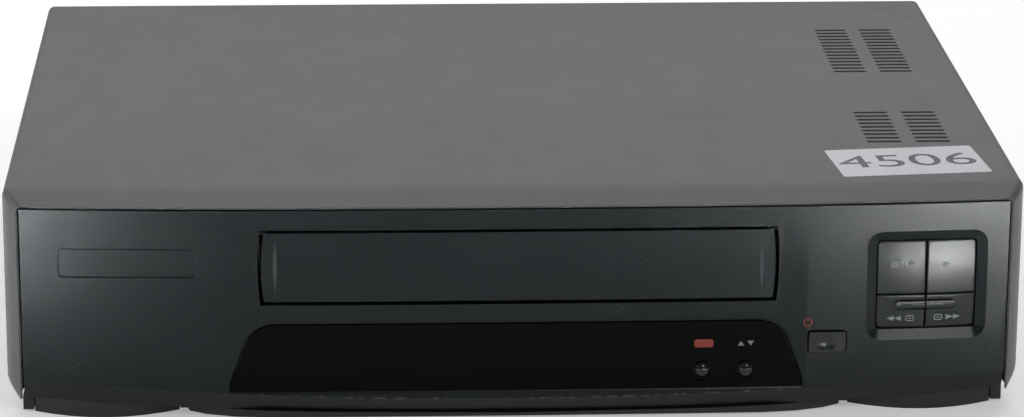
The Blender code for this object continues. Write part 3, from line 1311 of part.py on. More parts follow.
DRUM_SHARES = (0.0, 0.7309)
DRUM_RADIUS = 0.0310
DRUM_TILT = math.radians(6)
DRUM_LOWER_HEIGHT = 0.0160
DRUM_UPPER_HEIGHT = 0.0130
DRUM_SHAFT_RADIUS = 0.0030
DRUM_CAP_RADIUS = 0.0120
DRUM_CAP_HEIGHT = 0.0030
DRUM_AXIS = Vector((math.sin(DRUM_TILT), 0.0, math.cos(DRUM_TILT)))
DRUM_FOOT = Vector((*spot(DRUM_SHARES), DECK_SEAT + DRUM_RADIUS * math.sin(DRUM_TILT)))


def make_drum():
    split = DRUM_LOWER_HEIGHT
    top = split + GAP + DRUM_UPPER_HEIGHT
    shape = bmesh.new()
    profile = ((0.0, 0.0), (DRUM_RADIUS, 0.0), (DRUM_RADIUS, split), (DRUM_SHAFT_RADIUS, split),
               (DRUM_SHAFT_RADIUS, top + DRUM_CAP_HEIGHT + GAP), (0.0, top + DRUM_CAP_HEIGHT + GAP))
    add_turned(shape, profile, DRUM_FOOT, DRUM_AXIS)
    make_object("lower_drum", shape, ALUMINIUM)
    bore = DRUM_SHAFT_RADIUS + GAP
    profile = ((bore, split + GAP), (DRUM_RADIUS, split + GAP), (DRUM_RADIUS, top), (DRUM_CAP_RADIUS, top),
               (DRUM_CAP_RADIUS, top + DRUM_CAP_HEIGHT), (bore, top + DRUM_CAP_HEIGHT))
    shape = bmesh.new()
    add_turned(shape, profile, DRUM_FOOT, DRUM_AXIS, closed=True)
    make_object("upper_drum", shape, ALUMINIUM, tuple(DRUM_FOOT + DRUM_AXIS * split))


# Capstan, pinch roller, heads and tape guides

PINCH_PIVOT_SHARES = (0.5025, 0.6137)
PINCH_PLACE_SHARES = (0.4642, 0.6723)
TENSION_PIVOT_SHARES = (-0.4806, 0.6206)
TRACK_HEAD_SHARES = (0.3004, 0.6533)
ERASE_HEAD_SHARES = (-0.3113, 0.6413)
FLYWHEEL_RADIUS = 0.0180
FLYWHEEL_BOTTOM = 0.0125
FLYWHEEL_TOP = 0.0160
CAPSTAN_TOP = 0.0480
HOUSING_RADIUS = 0.0050
HOUSING_TOP = 0.0280
PINCH_PIVOT = spot(PINCH_PIVOT_SHARES)
PINCH_PLACE = spot(PINCH_PLACE_SHARES)
PINCH_RADIUS = 0.0060
PINCH_BOTTOM = 0.0320
PINCH_TOP = 0.0440
ARM_THICKNESS = 0.0025
ARM_HALF = 0.0032
PIVOT_RADIUS = 0.0040
PINCH_ARM_Z = 0.0292
ARM_PIN_RADIUS = 0.0015
HEAD_HALF = 0.0050
HEAD_HALF_DEPTH = 0.0042
HEAD_TOP = 0.0400
HEAD_CLEARANCE = 0.0008
ERASE_HEAD = spot(ERASE_HEAD_SHARES)
TENSION_PIVOT = spot(TENSION_PIVOT_SHARES)
TENSION_PLACE = (ERASE_HEAD[0] - HEAD_HALF - HEAD_CLEARANCE - ARM_HALF, ERASE_HEAD[1])
TENSION_ARM_Z = 0.0240
TENSION_POST_TOP = 0.0420
GUIDE_BASE_HALF = 0.0050
GUIDE_BASE_HEIGHT = 0.0030
GUIDE_POST_RADIUS = 0.0020
GUIDE_FLANGE_RADIUS = 0.0032
GUIDE_TOP = 0.0440


def make_capstan():
    centre = (CAPSTAN_X, CAPSTAN_Y, 0.0)
    profile = ((0.0, FLYWHEEL_BOTTOM), (FLYWHEEL_RADIUS, FLYWHEEL_BOTTOM), (FLYWHEEL_RADIUS, FLYWHEEL_TOP),
               (CAPSTAN_RADIUS, FLYWHEEL_TOP), (CAPSTAN_RADIUS, CAPSTAN_TOP), (0.0, CAPSTAN_TOP))
    shape = bmesh.new()
    add_turned(shape, profile, centre)
    make_object("capstan_flywheel", shape, BRIGHT_STEEL, (centre[0], centre[1], FLYWHEEL_BOTTOM))
    shape = bmesh.new()
    add_tube(shape, centre, (0.0, 0.0, 1.0), HOUSING_RADIUS, CAPSTAN_RADIUS + DECK_GAP, (DECK_SEAT, HOUSING_TOP),
             SMALL_SIDES)
    make_object("capstan_housing", shape, ZINC_STEEL)


def make_arm(name, pivot, place, arm_z, pin_top):
    """An arm that turns on a pivot tube standing on the deck, with a pin at its far end."""
    start = Vector((*pivot, 0.0))
    end = Vector((*place, 0.0))
    way = (end - start).normalized()
    side = Vector((-way.y, way.x, 0.0)) * ARM_HALF
    z = (arm_z, arm_z + ARM_THICKNESS)
    shape = bmesh.new()
    corners = (start - side, end - side, end + way * ARM_HALF, end + side, start + side)
    add_prism(shape, [(point.x, point.y) for point in corners], "Z", z)
    arm = make_object(name, shape, ZINC_STEEL, (start.x, start.y, arm_z))
    extras = bmesh.new()
    add_rod(extras, start, (0.0, 0.0, 1.0), PIVOT_RADIUS, (DECK_SEAT, z[1] + GAP))
    add_rod(extras, end, (0.0, 0.0, 1.0), ARM_PIN_RADIUS, (arm_z + GAP, pin_top), PIN_SIDES)
    join(arm, "pivot_and_pin", extras)


def make_pinch_roller():
    make_arm("pinch_arm", PINCH_PIVOT, PINCH_PLACE, PINCH_ARM_Z, PINCH_TOP + GAP)
    shape = bmesh.new()
    add_tube(shape, (*PINCH_PLACE, 0.0), (0.0, 0.0, 1.0), PINCH_RADIUS, ARM_PIN_RADIUS + GAP,
             (PINCH_BOTTOM, PINCH_TOP), KNOB_SIDES)
    make_object("pinch_roller", shape, BLACK_RUBBER, (*PINCH_PLACE, PINCH_BOTTOM))


def make_heads():
    make_arm("tension_arm", TENSION_PIVOT, TENSION_PLACE, TENSION_ARM_Z, TENSION_POST_TOP)
    for name, (x, y) in (("audio_control_head", spot(TRACK_HEAD_SHARES)), ("erase_head", ERASE_HEAD)):
        shape = bmesh.new()
        add_box(shape, both(HEAD_HALF, x), both(HEAD_HALF_DEPTH, y), (DECK_SEAT, HEAD_TOP))
        make_object(name, shape, BRIGHT_STEEL)


def make_guides():
    for name, x in (("supply_guide", -GUIDE_X), ("takeup_guide", GUIDE_X)):
        shape = bmesh.new()
        middle = DECK_SEAT + GUIDE_BASE_HEIGHT
        add_box(shape, both(GUIDE_BASE_HALF, x), both(GUIDE_BASE_HALF, GUIDE_Y), (DECK_SEAT, middle))
        guide = make_object(name, shape, BRIGHT_STEEL, (x, GUIDE_Y, DECK_SEAT))
        extras = bmesh.new()
        add_rod(extras, (x, GUIDE_Y, 0.0), (0.0, 0.0, 1.0), GUIDE_KEY_RADIUS,
                (DECK_BOTTOM - DECK_GAP, middle - SLIVER), PIN_SIDES)
        profile = ((0.0, middle - SLIVER), (GUIDE_POST_RADIUS, middle - SLIVER),
                   (GUIDE_POST_RADIUS, GUIDE_TOP - BRACKET_SHEET), (GUIDE_FLANGE_RADIUS, GUIDE_TOP - BRACKET_SHEET),
                   (GUIDE_FLANGE_RADIUS, GUIDE_TOP), (0.0, GUIDE_TOP))
        add_turned(extras, profile, (x, GUIDE_Y, 0.0), sides=SMALL_SIDES)
        join(guide, "key_and_post", extras)


# Reels and the idler wheel between them

REEL_SHARES = (0.2512, 0.3965)
REEL_X, REEL_Y = spot(REEL_SHARES)
TABLE_RADIUS = 0.0240
TABLE_BOTTOM = 0.0200
TABLE_TOP = 0.0230
HUB_RADIUS = 0.0080
HUB_TOP = 0.0250
SPINDLE_RADIUS = 0.0050
SPINDLE_TOP = 0.0370
SPINDLE_TIP = 0.0030
REEL_FOOT_RADIUS = 0.0060
IDLER_SHARES = (0.0, 0.3034)
IDLER_PIVOT = spot(IDLER_SHARES)
IDLER_REACH = 0.0300
IDLER_RADIUS = 0.0080
IDLER_ROOT = 0.0070
IDLER_TEETH = 16
IDLER_BOTTOM = 0.0214
IDLER_TOP = 0.0232
IDLER_ARM_HEIGHT = 0.0024


def make_reels():
    for name, x in (("supply_reel", -REEL_X), ("takeup_reel", REEL_X)):
        profile = ((0.0, DECK_SEAT), (REEL_FOOT_RADIUS, DECK_SEAT), (REEL_FOOT_RADIUS, TABLE_BOTTOM),
                   (TABLE_RADIUS, TABLE_BOTTOM), (TABLE_RADIUS, TABLE_TOP), (HUB_RADIUS, TABLE_TOP),
                   (HUB_RADIUS, HUB_TOP), (SPINDLE_RADIUS, HUB_TOP), (SPINDLE_RADIUS, SPINDLE_TOP - SPINDLE_TIP),
                   (SPINDLE_TIP, SPINDLE_TOP), (0.0, SPINDLE_TOP))
        shape = bmesh.new()
        add_turned(shape, profile, (x, REEL_Y, 0.0))
        make_object(name, shape, BLACK_PLASTIC, (x, REEL_Y, DECK_SEAT))


def make_idler():
    start = (*IDLER_PIVOT, 0.0)
    end = (start[0], start[1] + IDLER_REACH, 0.0)
    shape = bmesh.new()
    top = DECK_SEAT + IDLER_ARM_HEIGHT
    add_box(shape, both(ARM_HALF, start[0]), (start[1], end[1]), (DECK_SEAT, top))
    arm = make_object("idler_arm", shape, BLACK_PLASTIC, (*IDLER_PIVOT, DECK_SEAT))
    extras = bmesh.new()
    add_rod(extras, start, (0.0, 0.0, 1.0), PIVOT_RADIUS, (DECK_SEAT + GAP, top + GAP))
    add_rod(extras, end, (0.0, 0.0, 1.0), ARM_PIN_RADIUS, (DECK_SEAT + GAP, IDLER_TOP + GAP), PIN_SIDES)
    join(arm, "pivot_and_pin", extras)
    gear = bmesh.new()
    outline = gear_outline((end[0], end[1]), IDLER_RADIUS, IDLER_ROOT, IDLER_TEETH)
    add_prism(gear, outline, "Z", (IDLER_BOTTOM, IDLER_TOP))
    wheel = make_object("idler_gear", gear, WHITE_PLASTIC, (end[0], end[1], IDLER_BOTTOM))
    bore = bmesh.new()
    add_rod(bore, end, (0.0, 0.0, 1.0), ARM_PIN_RADIUS + GAP, (IDLER_BOTTOM - OVERRUN, IDLER_TOP + OVERRUN),
            PIN_SIDES)
    cut(wheel, "bore", bore)


# Loading drive: a motor with a worm that turns the mode gear

MODE_SHARES = (-0.4369, 0.7757)
MODE_X, MODE_Y = spot(MODE_SHARES)
MODE_RADIUS = 0.0130
MODE_ROOT = 0.0120
MODE_TEETH = 26
MODE_THICKNESS = 0.0030
MODE_HUB_RADIUS = 0.0045
MOTOR_RADIUS = 0.0090
MOTOR_SETBACK = 0.0120
MOTOR_LENGTH = 0.0210
WORM_RADIUS = 0.0030
WORM_REACH = 0.0100
WORM_LENGTH = 0.0195
WORM_STUB_RADIUS = 0.0010
WORM_STUB_LENGTH = 0.0060
DRIVE_Z = DECK_SEAT + MOTOR_RADIUS
WORM_X = MODE_X + MODE_RADIUS + WORM_RADIUS + GAP


def make_loading_drive():
    z = both(MODE_THICKNESS / 2, DRIVE_Z)
    shape = bmesh.new()
    add_prism(shape, gear_outline((MODE_X, MODE_Y), MODE_RADIUS, MODE_ROOT, MODE_TEETH), "Z", z)
    gear = make_object("mode_gear", shape, WHITE_PLASTIC, (MODE_X, MODE_Y, DRIVE_Z))
    hub = bmesh.new()
    add_rod(hub, (MODE_X, MODE_Y, 0.0), (0.0, 0.0, 1.0), MODE_HUB_RADIUS, (DECK_SEAT, z[1] + METAL))
    join(gear, "hub", hub)

    axis = (0.0, 1.0, 0.0)
    centre = (WORM_X, 0.0, DRIVE_Z)
    motor_front = MODE_Y + MOTOR_SETBACK
    motor_back = motor_front + MOTOR_LENGTH
    bore = WORM_STUB_RADIUS + GAP
    bore_end = motor_front + WORM_STUB_LENGTH
    profile = ((0.0, bore_end), (bore, bore_end), (bore, motor_front), (MOTOR_RADIUS, motor_front),
               (MOTOR_RADIUS, motor_back), (0.0, motor_back))
    shape = bmesh.new()
    add_turned(shape, profile, centre, axis, KNOB_SIDES)
    make_object("loading_motor", shape, ZINC_STEEL)
    front = MODE_Y - WORM_REACH
    back = front + WORM_LENGTH
    profile = ((0.0, front), (WORM_RADIUS, front), (WORM_RADIUS, back), (WORM_STUB_RADIUS, back),
               (WORM_STUB_RADIUS, bore_end - GAP), (0.0, bore_end - GAP))
    shape = bmesh.new()
    add_turned(shape, profile, centre, axis, SMALL_SIDES)
    make_object("loading_worm", shape, WHITE_PLASTIC, (WORM_X, back, DRIVE_Z))


make_cover()
make_cover_screws()
make_fascia()
make_window()
make_flap()
for key_name, key_x, key_z in key_spans():
    make_key(key_name, key_x, key_z)
make_power_button()
make_dome_button("record_button", RECORD_X)
make_dome_button("channel_button", CHANNEL_X)
make_tray()
make_feet()
make_rear_panel()
make_scart_sockets()
make_aerial_sockets()
make_mains_inlet()
make_main_board()
make_power_supply()
make_key_board()
make_deck()
make_carriage_brackets()
make_carrier()
make_basket()
make_drum()
make_capstan()
make_pinch_roller()
make_heads()
make_guides()
make_reels()
make_idler()
make_loading_drive()
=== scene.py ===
import json
import math

import bmesh
import bpy
from mathutils import Matrix, Vector

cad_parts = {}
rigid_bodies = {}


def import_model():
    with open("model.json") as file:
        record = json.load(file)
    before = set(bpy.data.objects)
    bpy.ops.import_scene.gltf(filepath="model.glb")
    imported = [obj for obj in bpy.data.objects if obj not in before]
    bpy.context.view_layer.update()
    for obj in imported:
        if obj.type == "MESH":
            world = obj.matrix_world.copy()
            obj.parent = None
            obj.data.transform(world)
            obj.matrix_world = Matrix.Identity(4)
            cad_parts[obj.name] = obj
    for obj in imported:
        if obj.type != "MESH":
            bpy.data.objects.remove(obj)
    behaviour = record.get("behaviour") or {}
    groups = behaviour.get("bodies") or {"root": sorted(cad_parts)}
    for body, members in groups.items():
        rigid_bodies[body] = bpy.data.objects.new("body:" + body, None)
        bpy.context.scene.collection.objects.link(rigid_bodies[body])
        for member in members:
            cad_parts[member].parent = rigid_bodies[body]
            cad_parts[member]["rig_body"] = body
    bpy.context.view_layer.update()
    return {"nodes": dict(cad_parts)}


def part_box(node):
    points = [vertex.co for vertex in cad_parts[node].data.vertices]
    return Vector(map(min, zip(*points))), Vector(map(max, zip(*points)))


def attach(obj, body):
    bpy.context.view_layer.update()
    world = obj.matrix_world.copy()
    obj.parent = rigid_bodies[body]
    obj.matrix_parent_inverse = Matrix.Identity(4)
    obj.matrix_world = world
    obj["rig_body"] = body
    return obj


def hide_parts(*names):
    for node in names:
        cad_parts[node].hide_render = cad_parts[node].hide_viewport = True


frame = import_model()


# Set
# The pale paper floor shows whiter than it lights. Soft boxes overhead and in front light the recorder,
# with pale screens behind and at the left. Two narrow beams light the paper that the fascia's ends mirror.

WHITE = (1.0, 1.0, 1.0)
PAPER = (0.90, 0.90, 0.90)
PAPER_LIFT = 0.34
PAPER_ROUGHNESS, PAPER_SPECULAR = 0.9, 0.2
PAPER_HALF = 6.0
ROOM = (0.96, 0.98, 1.0)
ROOM_STRENGTH = 0.16
# The camera looks down from a little to the left
CAMERA_SPOT = (-0.0711, -1.58405, 0.5169)
CAMERA_TURN = math.radians(2.753)
CAMERA_DIP = math.radians(16.832)
CAMERA_ROLL = math.radians(0.297)
CAMERA_LENS = 143.47
SENSOR = 36.0
# Each lamp's name, place, aim, size across and up, beam in degrees, power in watts and colour
LAMPS = (
    ("overhead_box", (0.1, 0.75, 1.5), (0.0, 0.0, 0.05), (1.8, 1.0), 180.0, 12.0, WHITE),
    ("back_screen", (0.0, 2.2, 1.0), (0.0, 0.0, 0.09), (3.6, 0.6), 180.0, 8.2, WHITE),
    ("side_screen", (-1.5, 0.1, 0.6), (-0.19, 0.0, 0.05), (0.8, 0.8), 180.0, 7.0, WHITE),
    ("front_box", (0.63, -1.68, 1.20), (0.1, -0.14, 0.05), (0.45, 0.25), 180.0, 8.0, WHITE),
    ("left_pool", (-0.31, -0.42, 0.4), (-0.31, -0.42, 0.0), (0.10, 0.10), 25.0, 4.1, (0.90, 0.97, 1.0)),
    ("right_pool", (0.295, -0.51, 0.4), (0.295, -0.51, 0.0), (0.10, 0.10), 28.0, 15.5, (0.98, 1.0, 1.0)),
)

scene = bpy.context.scene
scene.view_settings.view_transform = "Standard"


def add_node(tree, kind, sockets):
    """A shader node with its sockets set, or linked where the value is another node's socket."""
    made = tree.nodes.new(kind)
    for name, value in sockets.items():
        if isinstance(value, bpy.types.NodeSocket):
            tree.links.new(value, made.inputs[name])
        else:
            made.inputs[name].default_value = value
    return made


def maths(tree, operation, first, second=0.0):
    """One sum on two values or sockets."""
    made = tree.nodes.new("ShaderNodeMath")
    made.operation = operation
    for socket, value in zip(made.inputs, (first, second)):
        if isinstance(value, bpy.types.NodeSocket):
            tree.links.new(value, socket)
        else:
            socket.default_value = value
    return made.outputs[0]


def linked(name, data):
    """Mesh, light or camera data as an object in the scene, at the origin."""
    thing = bpy.data.objects.new(name, data)
    scene.collection.objects.link(thing)
    return thing


def as_object(name, shape):
    """A finished shape as an object."""
    mesh = bpy.data.meshes.new(name)
    shape.to_mesh(mesh)
    shape.free()
    return linked(name, mesh)


lens = bpy.data.cameras.new("camera")
lens.lens = CAMERA_LENS
lens.sensor_width = SENSOR
camera = linked("camera", lens)
turn = Matrix.Rotation(-CAMERA_TURN, 4, "Z")
dip = Matrix.Rotation(math.radians(90) - CAMERA_DIP, 4, "X")
roll = Matrix.Rotation(CAMERA_ROLL, 4, "Z")
camera.matrix_world = Matrix.Translation(CAMERA_SPOT) @ turn @ dip @ roll
scene.camera = camera

for name, spot, aim, size, beam, power, colour in LAMPS:
    light = bpy.data.lights.new(name, "AREA")
    light.shape = "RECTANGLE"
    light.size, light.size_y = size
    light.spread = math.radians(beam)
    light.energy = power
    light.color = colour
    lamp = linked(name, light)
    lamp.visible_camera = False
    facing = (Vector(aim) - Vector(spot)).to_track_quat("-Z", "Y")
    lamp.matrix_world = Matrix.Translation(spot) @ facing.to_matrix().to_4x4()

world = bpy.data.worlds.new("room")
world.use_nodes = True
world.node_tree.nodes["Background"].inputs["Color"].default_value = (*ROOM, 1.0)
world.node_tree.nodes["Background"].inputs["Strength"].default_value = ROOM_STRENGTH
scene.world = world

sheet = bmesh.new()
bmesh.ops.create_grid(sheet, x_segments=1, y_segments=1, size=PAPER_HALF)
floor = as_object("paper_floor", sheet)
paper = bpy.data.materials.new("paper")
paper.use_nodes = True
shader = paper.node_tree.nodes["Principled BSDF"]
shader.inputs["Base Color"].default_value = (*PAPER, 1.0)
shader.inputs["Roughness"].default_value = PAPER_ROUGHNESS
shader.inputs["Specular IOR Level"].default_value = PAPER_SPECULAR
shader.inputs["Emission Color"].default_value = (*WHITE, 1.0)
path = add_node(paper.node_tree, "ShaderNodeLightPath", {}).outputs
mirrored = maths(paper.node_tree, "ADD", path["Is Glossy Ray"], path["Is Transmission Ray"])
seen = maths(paper.node_tree, "ADD", path["Is Camera Ray"], mirrored)
lift = maths(paper.node_tree, "MULTIPLY", seen, PAPER_LIFT)
paper.node_tree.links.new(lift, shader.inputs["Emission Strength"])
floor.data.materials.append(paper)


# Bottom tray and front feet
# The tray is one black moulding with low side walls and a shallow lobe along its front.
# Two more shallow lobes stand under its front corners as feet. Its skin is finely spark-eroded.

TRAY_BLACK = (0.020, 0.021, 0.021)
CLOUD_SCALE, CLOUD_DETAIL = 28.0, 3.0
CLOUD_SPAN = (0.35, 0.65)
GLOSS_CLOUD_SCALE, GLOSS_SHARE = 84.0, 0.05
GRAIN_DETAIL = 2.0
SOFT_EDGE = 0.0003
TRAY_EDGE = 0.0005
EDGE_STEPS = 2
CRISP_TURN = math.radians(20)
CRISP_COPY = math.radians(32)
FLAT_TURN = math.radians(0.3)
WELD = 0.000001
# A mix node's sockets for the share and the two colours, and the one where its colour comes out
MIX_SHARE, MIX_LOW, MIX_HIGH, MIX_OUT = 0, 6, 7, 2


def spread(tree, value, span, low, high):
    """A value's span drawn out between two limits, and held there."""
    drawn = add_node(tree, "ShaderNodeMapRange", {
        "Value": value, "From Min": span[0], "From Max": span[1], "To Min": low, "To Max": high})
    return drawn.outputs["Result"]


def noise(tree, place, scale, detail=0.0):
    """A noise from 0 to 1."""
    made = add_node(tree, "ShaderNodeTexNoise", {"Vector": place, "Scale": scale, "Detail": detail})
    return made.outputs["Fac"]


def mottle(tree, place, scale, low, high):
    """A soft cloudy noise between two values."""
    return spread(tree, noise(tree, place, scale, CLOUD_DETAIL), CLOUD_SPAN, low, high)


def blend(tree, share, low, high):
    """Two colours mixed by a share."""
    mix = tree.nodes.new("ShaderNodeMix")
    mix.data_type = "RGBA"
    tree.links.new(share, mix.inputs[MIX_SHARE])
    for socket, colour in ((mix.inputs[MIX_LOW], low), (mix.inputs[MIX_HIGH], high)):
        if isinstance(colour, bpy.types.NodeSocket):
            tree.links.new(colour, socket)
        else:
            socket.default_value = (*colour, 1.0)
    return mix.outputs[MIX_OUT]


def finish(name, colour, rough, grain, relief, metallic=0.0, variation=0.12, specular=0.5):
    """A finish with a cloudy colour, an uneven gloss and a fine grain with a relief in metres."""
    material = bpy.data.materials.new(name)
    material.use_nodes = True
    tree = material.node_tree
    shader = tree.nodes["Principled BSDF"]
    place = add_node(tree, "ShaderNodeTexCoord", {}).outputs["Object"]
    dark = [channel * (1 - variation) for channel in colour]
    light = [channel * (1 + variation) for channel in colour]
    tint = blend(tree, mottle(tree, place, CLOUD_SCALE, 0.0, 1.0), dark, light)
    tree.links.new(tint, shader.inputs["Base Color"])
    gloss = mottle(tree, place, GLOSS_CLOUD_SCALE, rough * (1 - GLOSS_SHARE), rough * (1 + GLOSS_SHARE))
    tree.links.new(gloss, shader.inputs["Roughness"])
    height = noise(tree, place, grain, GRAIN_DETAIL)
    bump = add_node(tree, "ShaderNodeBump", {"Height": height, "Distance": relief, "Strength": 1.0})
    tree.links.new(bump.outputs["Normal"], shader.inputs["Normal"])
    shader.inputs["Metallic"].default_value = metallic
    shader.inputs["Specular IOR Level"].default_value = specular
    return material


def copied(node):
    """A copy of a CAD node, its doubles merged and its flat faces joined."""
    shape = bmesh.new()
    shape.from_mesh(frame["nodes"][node].data)
    bmesh.ops.remove_doubles(shape, verts=shape.verts, dist=WELD)
    bmesh.ops.dissolve_limit(shape, angle_limit=FLAT_TURN, verts=shape.verts, edges=shape.edges)
    piece = as_object(node + "_finished", shape)
    attributes = piece.data.attributes
    if "custom_normal" in attributes:
        attributes.remove(attributes["custom_normal"])
    return piece


def skinned(piece, node, material, edge=SOFT_EDGE, crisp=CRISP_TURN):
    """Smooths a piece, eases its edges, gives it its finish and lets it stand for its CAD node."""
    shape = bmesh.new()
    shape.from_mesh(piece.data)
    for face in shape.faces:
        face.smooth = True
    for seam in shape.edges:
        seam.smooth = len(seam.link_faces) == 2 and seam.calc_face_angle() < crisp
    shape.to_mesh(piece.data)
    shape.free()
    piece.data.materials.clear()
    piece.data.materials.append(material)
    if edge:
        easing = piece.modifiers.new("eased_edge", "BEVEL")
        easing.width = edge
        easing.segments = EDGE_STEPS
        easing.limit_method = "ANGLE"
        easing.angle_limit = crisp
        easing.harden_normals = True
    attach(piece, frame["nodes"][node]["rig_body"])
    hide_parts(node)


def dressed(nodes, material, edge):
    """Gives CAD nodes whose shape is right their finish, on copies with eased edges."""
    for node in nodes:
        skinned(copied(node), node, material, edge, CRISP_COPY)


tray_black = finish("tray_black", TRAY_BLACK, rough=0.46, grain=1500.0, relief=0.00002)
dressed(("bottom_tray", "front_foot_left", "front_foot_right"), tray_black, TRAY_EDGE)


# Rear feet
# Two round pads of matt black rubber, pressed into the tray under its back corners.

FOOT_BLACK = (0.016, 0.016, 0.017)
foot_rubber = finish("foot_rubber", FOOT_BLACK, rough=0.78, grain=900.0, relief=0.00005)
dressed(("rear_foot_left", "rear_foot_right"), foot_rubber, TRAY_EDGE)


# Rear panel and its sockets
# The back is a black moulding screwed on at its ends. Two wide scart sockets and the mains inlet are black
# plastic; the tuner is a folded zinc-plated can whose aerial socket and plug come out through the back.

BACK_BLACK = (0.018, 0.018, 0.018)
SOCKET_BLACK = (0.013, 0.013, 0.014)
ZINC = (0.50, 0.50, 0.48)
SPANGLE = (0.38, 0.39, 0.40)
SPANGLE_CELLS, SPANGLE_SHARE = 260.0, 0.35
SPANGLE_SPAN = (0.2, 0.8)


def recoloured(material, change):
    """Passes a material's colour through a change made of nodes."""
    tree = material.node_tree
    shader = tree.nodes["Principled BSDF"]
    place = next(node for node in tree.nodes if node.type == "TEX_COORD").outputs["Object"]
    colour = shader.inputs["Base Color"].links[0].from_socket
    tree.links.new(change(tree, place, colour), shader.inputs["Base Color"])


def spangled(tree, place, colour):
    """The crystal pattern of a zinc plating, as faint darker and lighter cells."""
    cells = add_node(tree, "ShaderNodeTexVoronoi", {"Vector": place, "Scale": SPANGLE_CELLS})
    grey = add_node(tree, "ShaderNodeRGBToBW", {"Color": cells.outputs["Color"]})
    share = spread(tree, grey.outputs["Val"], SPANGLE_SPAN, 0.0, SPANGLE_SHARE)
    return blend(tree, share, colour, SPANGLE)


back_black = finish("back_black", BACK_BLACK, rough=0.52, grain=1300.0, relief=0.00003)
socket_black = finish("socket_black", SOCKET_BLACK, rough=0.34, grain=1100.0, relief=0.00001)
zinc_plate = finish("zinc_plate", ZINC, rough=0.42, grain=700.0, relief=0.00001, metallic=1.0,
                    variation=0.06)
recoloured(zinc_plate, spangled)
dressed(("rear_panel",), back_black, SOFT_EDGE)
dressed(("scart_socket_1", "scart_socket_2", "mains_inlet"), socket_black, SOFT_EDGE)
dressed(("tuner_modulator", "aerial_in_socket", "aerial_out_plug"), zinc_plate, SOFT_EDGE / 2)


# Circuit boards and power supply
# Brown paper laminate under a clear lacquer, its parts sleeved in black, with a varnished transformer and a
# finned aluminium heat sink. The display is a flat glass tube on the board behind the buttons.

LAMINATE = (0.24, 0.15, 0.06)
LAMINATE_TOP = 0.0118
SLEEVE_BLACK = (0.016, 0.017, 0.021)
CORE_BROWN = (0.10, 0.095, 0.09)
TUBE_GREEN = (0.08, 0.12, 0.10)
ALUMINIUM = (0.66, 0.66, 0.67)


def sleeved(tree, place, colour):
    """The parts that stand on a level board, dark from its upper face up."""
    spot = add_node(tree, "ShaderNodeSeparateXYZ", {"Vector": place})
    above = maths(tree, "GREATER_THAN", spot.outputs["Z"], LAMINATE_TOP)
    return blend(tree, above, colour, SLEEVE_BLACK)


board_lacquer, level_board = [
    finish(name, LAMINATE, rough=0.42, grain=500.0, relief=0.00004, variation=0.25)
    for name in ("board_lacquer", "level_board")]
recoloured(level_board, sleeved)
core_varnish = finish("core_varnish", CORE_BROWN, rough=0.40, grain=900.0, relief=0.00003, metallic=0.6,
                      variation=0.20)
tube_glass = finish("tube_glass", TUBE_GREEN, rough=0.08, grain=300.0, relief=0.000002)
turned_aluminium = finish("turned_aluminium", ALUMINIUM, rough=0.24, grain=900.0, relief=0.000005,
                          metallic=1.0, variation=0.05)
dressed(("main_board", "power_board"), level_board, 0.0)
dressed(("key_board",), board_lacquer, 0.0)
dressed(("power_transformer",), core_varnish, SOFT_EDGE)
dressed(("heat_sink",), turned_aluminium, SOFT_EDGE / 2)
dressed(("display_tube",), tube_glass, SOFT_EDGE)


# Tape deck
# A pressed zinc-plated plate carries the slanted head drum, the capstan with its flywheel, the heads and
# the guides. The reels, idler and loading gears are acetal mouldings, and the pinch roller is ground rubber.

STEEL = (0.72, 0.72, 0.73)
REEL_BLACK = (0.020, 0.020, 0.021)
ACETAL = (0.72, 0.72, 0.68)
ROLLER_BLACK = (0.015, 0.015, 0.015)

polished_steel = finish("polished_steel", STEEL, rough=0.16, grain=600.0, relief=0.000004, metallic=1.0,
                        variation=0.05)
reel_black = finish("reel_black", REEL_BLACK, rough=0.38, grain=1300.0, relief=0.00001)
acetal_white = finish("acetal_white", ACETAL, rough=0.36, grain=1200.0, relief=0.00001, variation=0.05)
roller_rubber = finish("roller_rubber", ROLLER_BLACK, rough=0.62, grain=900.0, relief=0.00004)
for material, nodes in (
        (zinc_plate, ("deck_plate", "capstan_housing", "pinch_arm", "tension_arm", "loading_motor")),
        (turned_aluminium, ("lower_drum", "upper_drum")),
        (polished_steel, ("capstan_flywheel", "audio_control_head", "erase_head", "supply_guide",
                          "takeup_guide")),
        (reel_black, ("supply_reel", "takeup_reel", "idler_arm")),
        (acetal_white, ("idler_gear", "mode_gear", "loading_worm")),
        (roller_rubber, ("pinch_roller",))):
    dressed(nodes, material, SOFT_EDGE / 2)


# Cassette carriage
# Two brackets and a stay of folded zinc-plated steel guide the carrier, and the basket drops in it
# once the cassette has been drawn in.

dressed(("carriage_bracket_left", "carriage_bracket_right", "carriage_top_stay", "basket_carrier",
         "cassette_basket"), zinc_plate, SOFT_EDGE / 2)


# Front fascia
# One satin charcoal moulding, bowed forward in its middle, closes the front under the lid's rim.
# The cassette slot and its chute, the window's bed, the button panel and a blank recess are moulded in it.

NOSE = -0.1511
BOW = 0.00535
FRONT = NOSE + BOW
FASCIA_HALF = 0.1831
FASCIA_TOP = 0.0824
FASCIA_CORNER = 0.0016
FASCIA_WALL = 0.0022
FASCIA_FLANGE = 0.0136
FASCIA_RETURN = 0.0180
CREASE, CREASE_RISE = 0.0090, 0.0075
LOWER_EDGE, LOWER_EDGE_RISE = 0.0023, 0.0057
LOWER_SETBACK = 0.0050
SLICE = 0.003
OVERRUN = 0.003
HAIR = 0.0001
FRONT_EDGE = 0.00025
X, Y, Z = 0, 1, 2

SLOT_MIDDLE_X = 0.0006
SLOT_HALF = 0.0965
SLOT_Z = (0.0459, 0.0750)
SLOT_SWELL = 0.0009
SLOT_CORNER = 0.0006
CHUTE_WALL = 0.0026
CHUTE_START = 0.0018
CHEEK_DEPTH = 0.0225

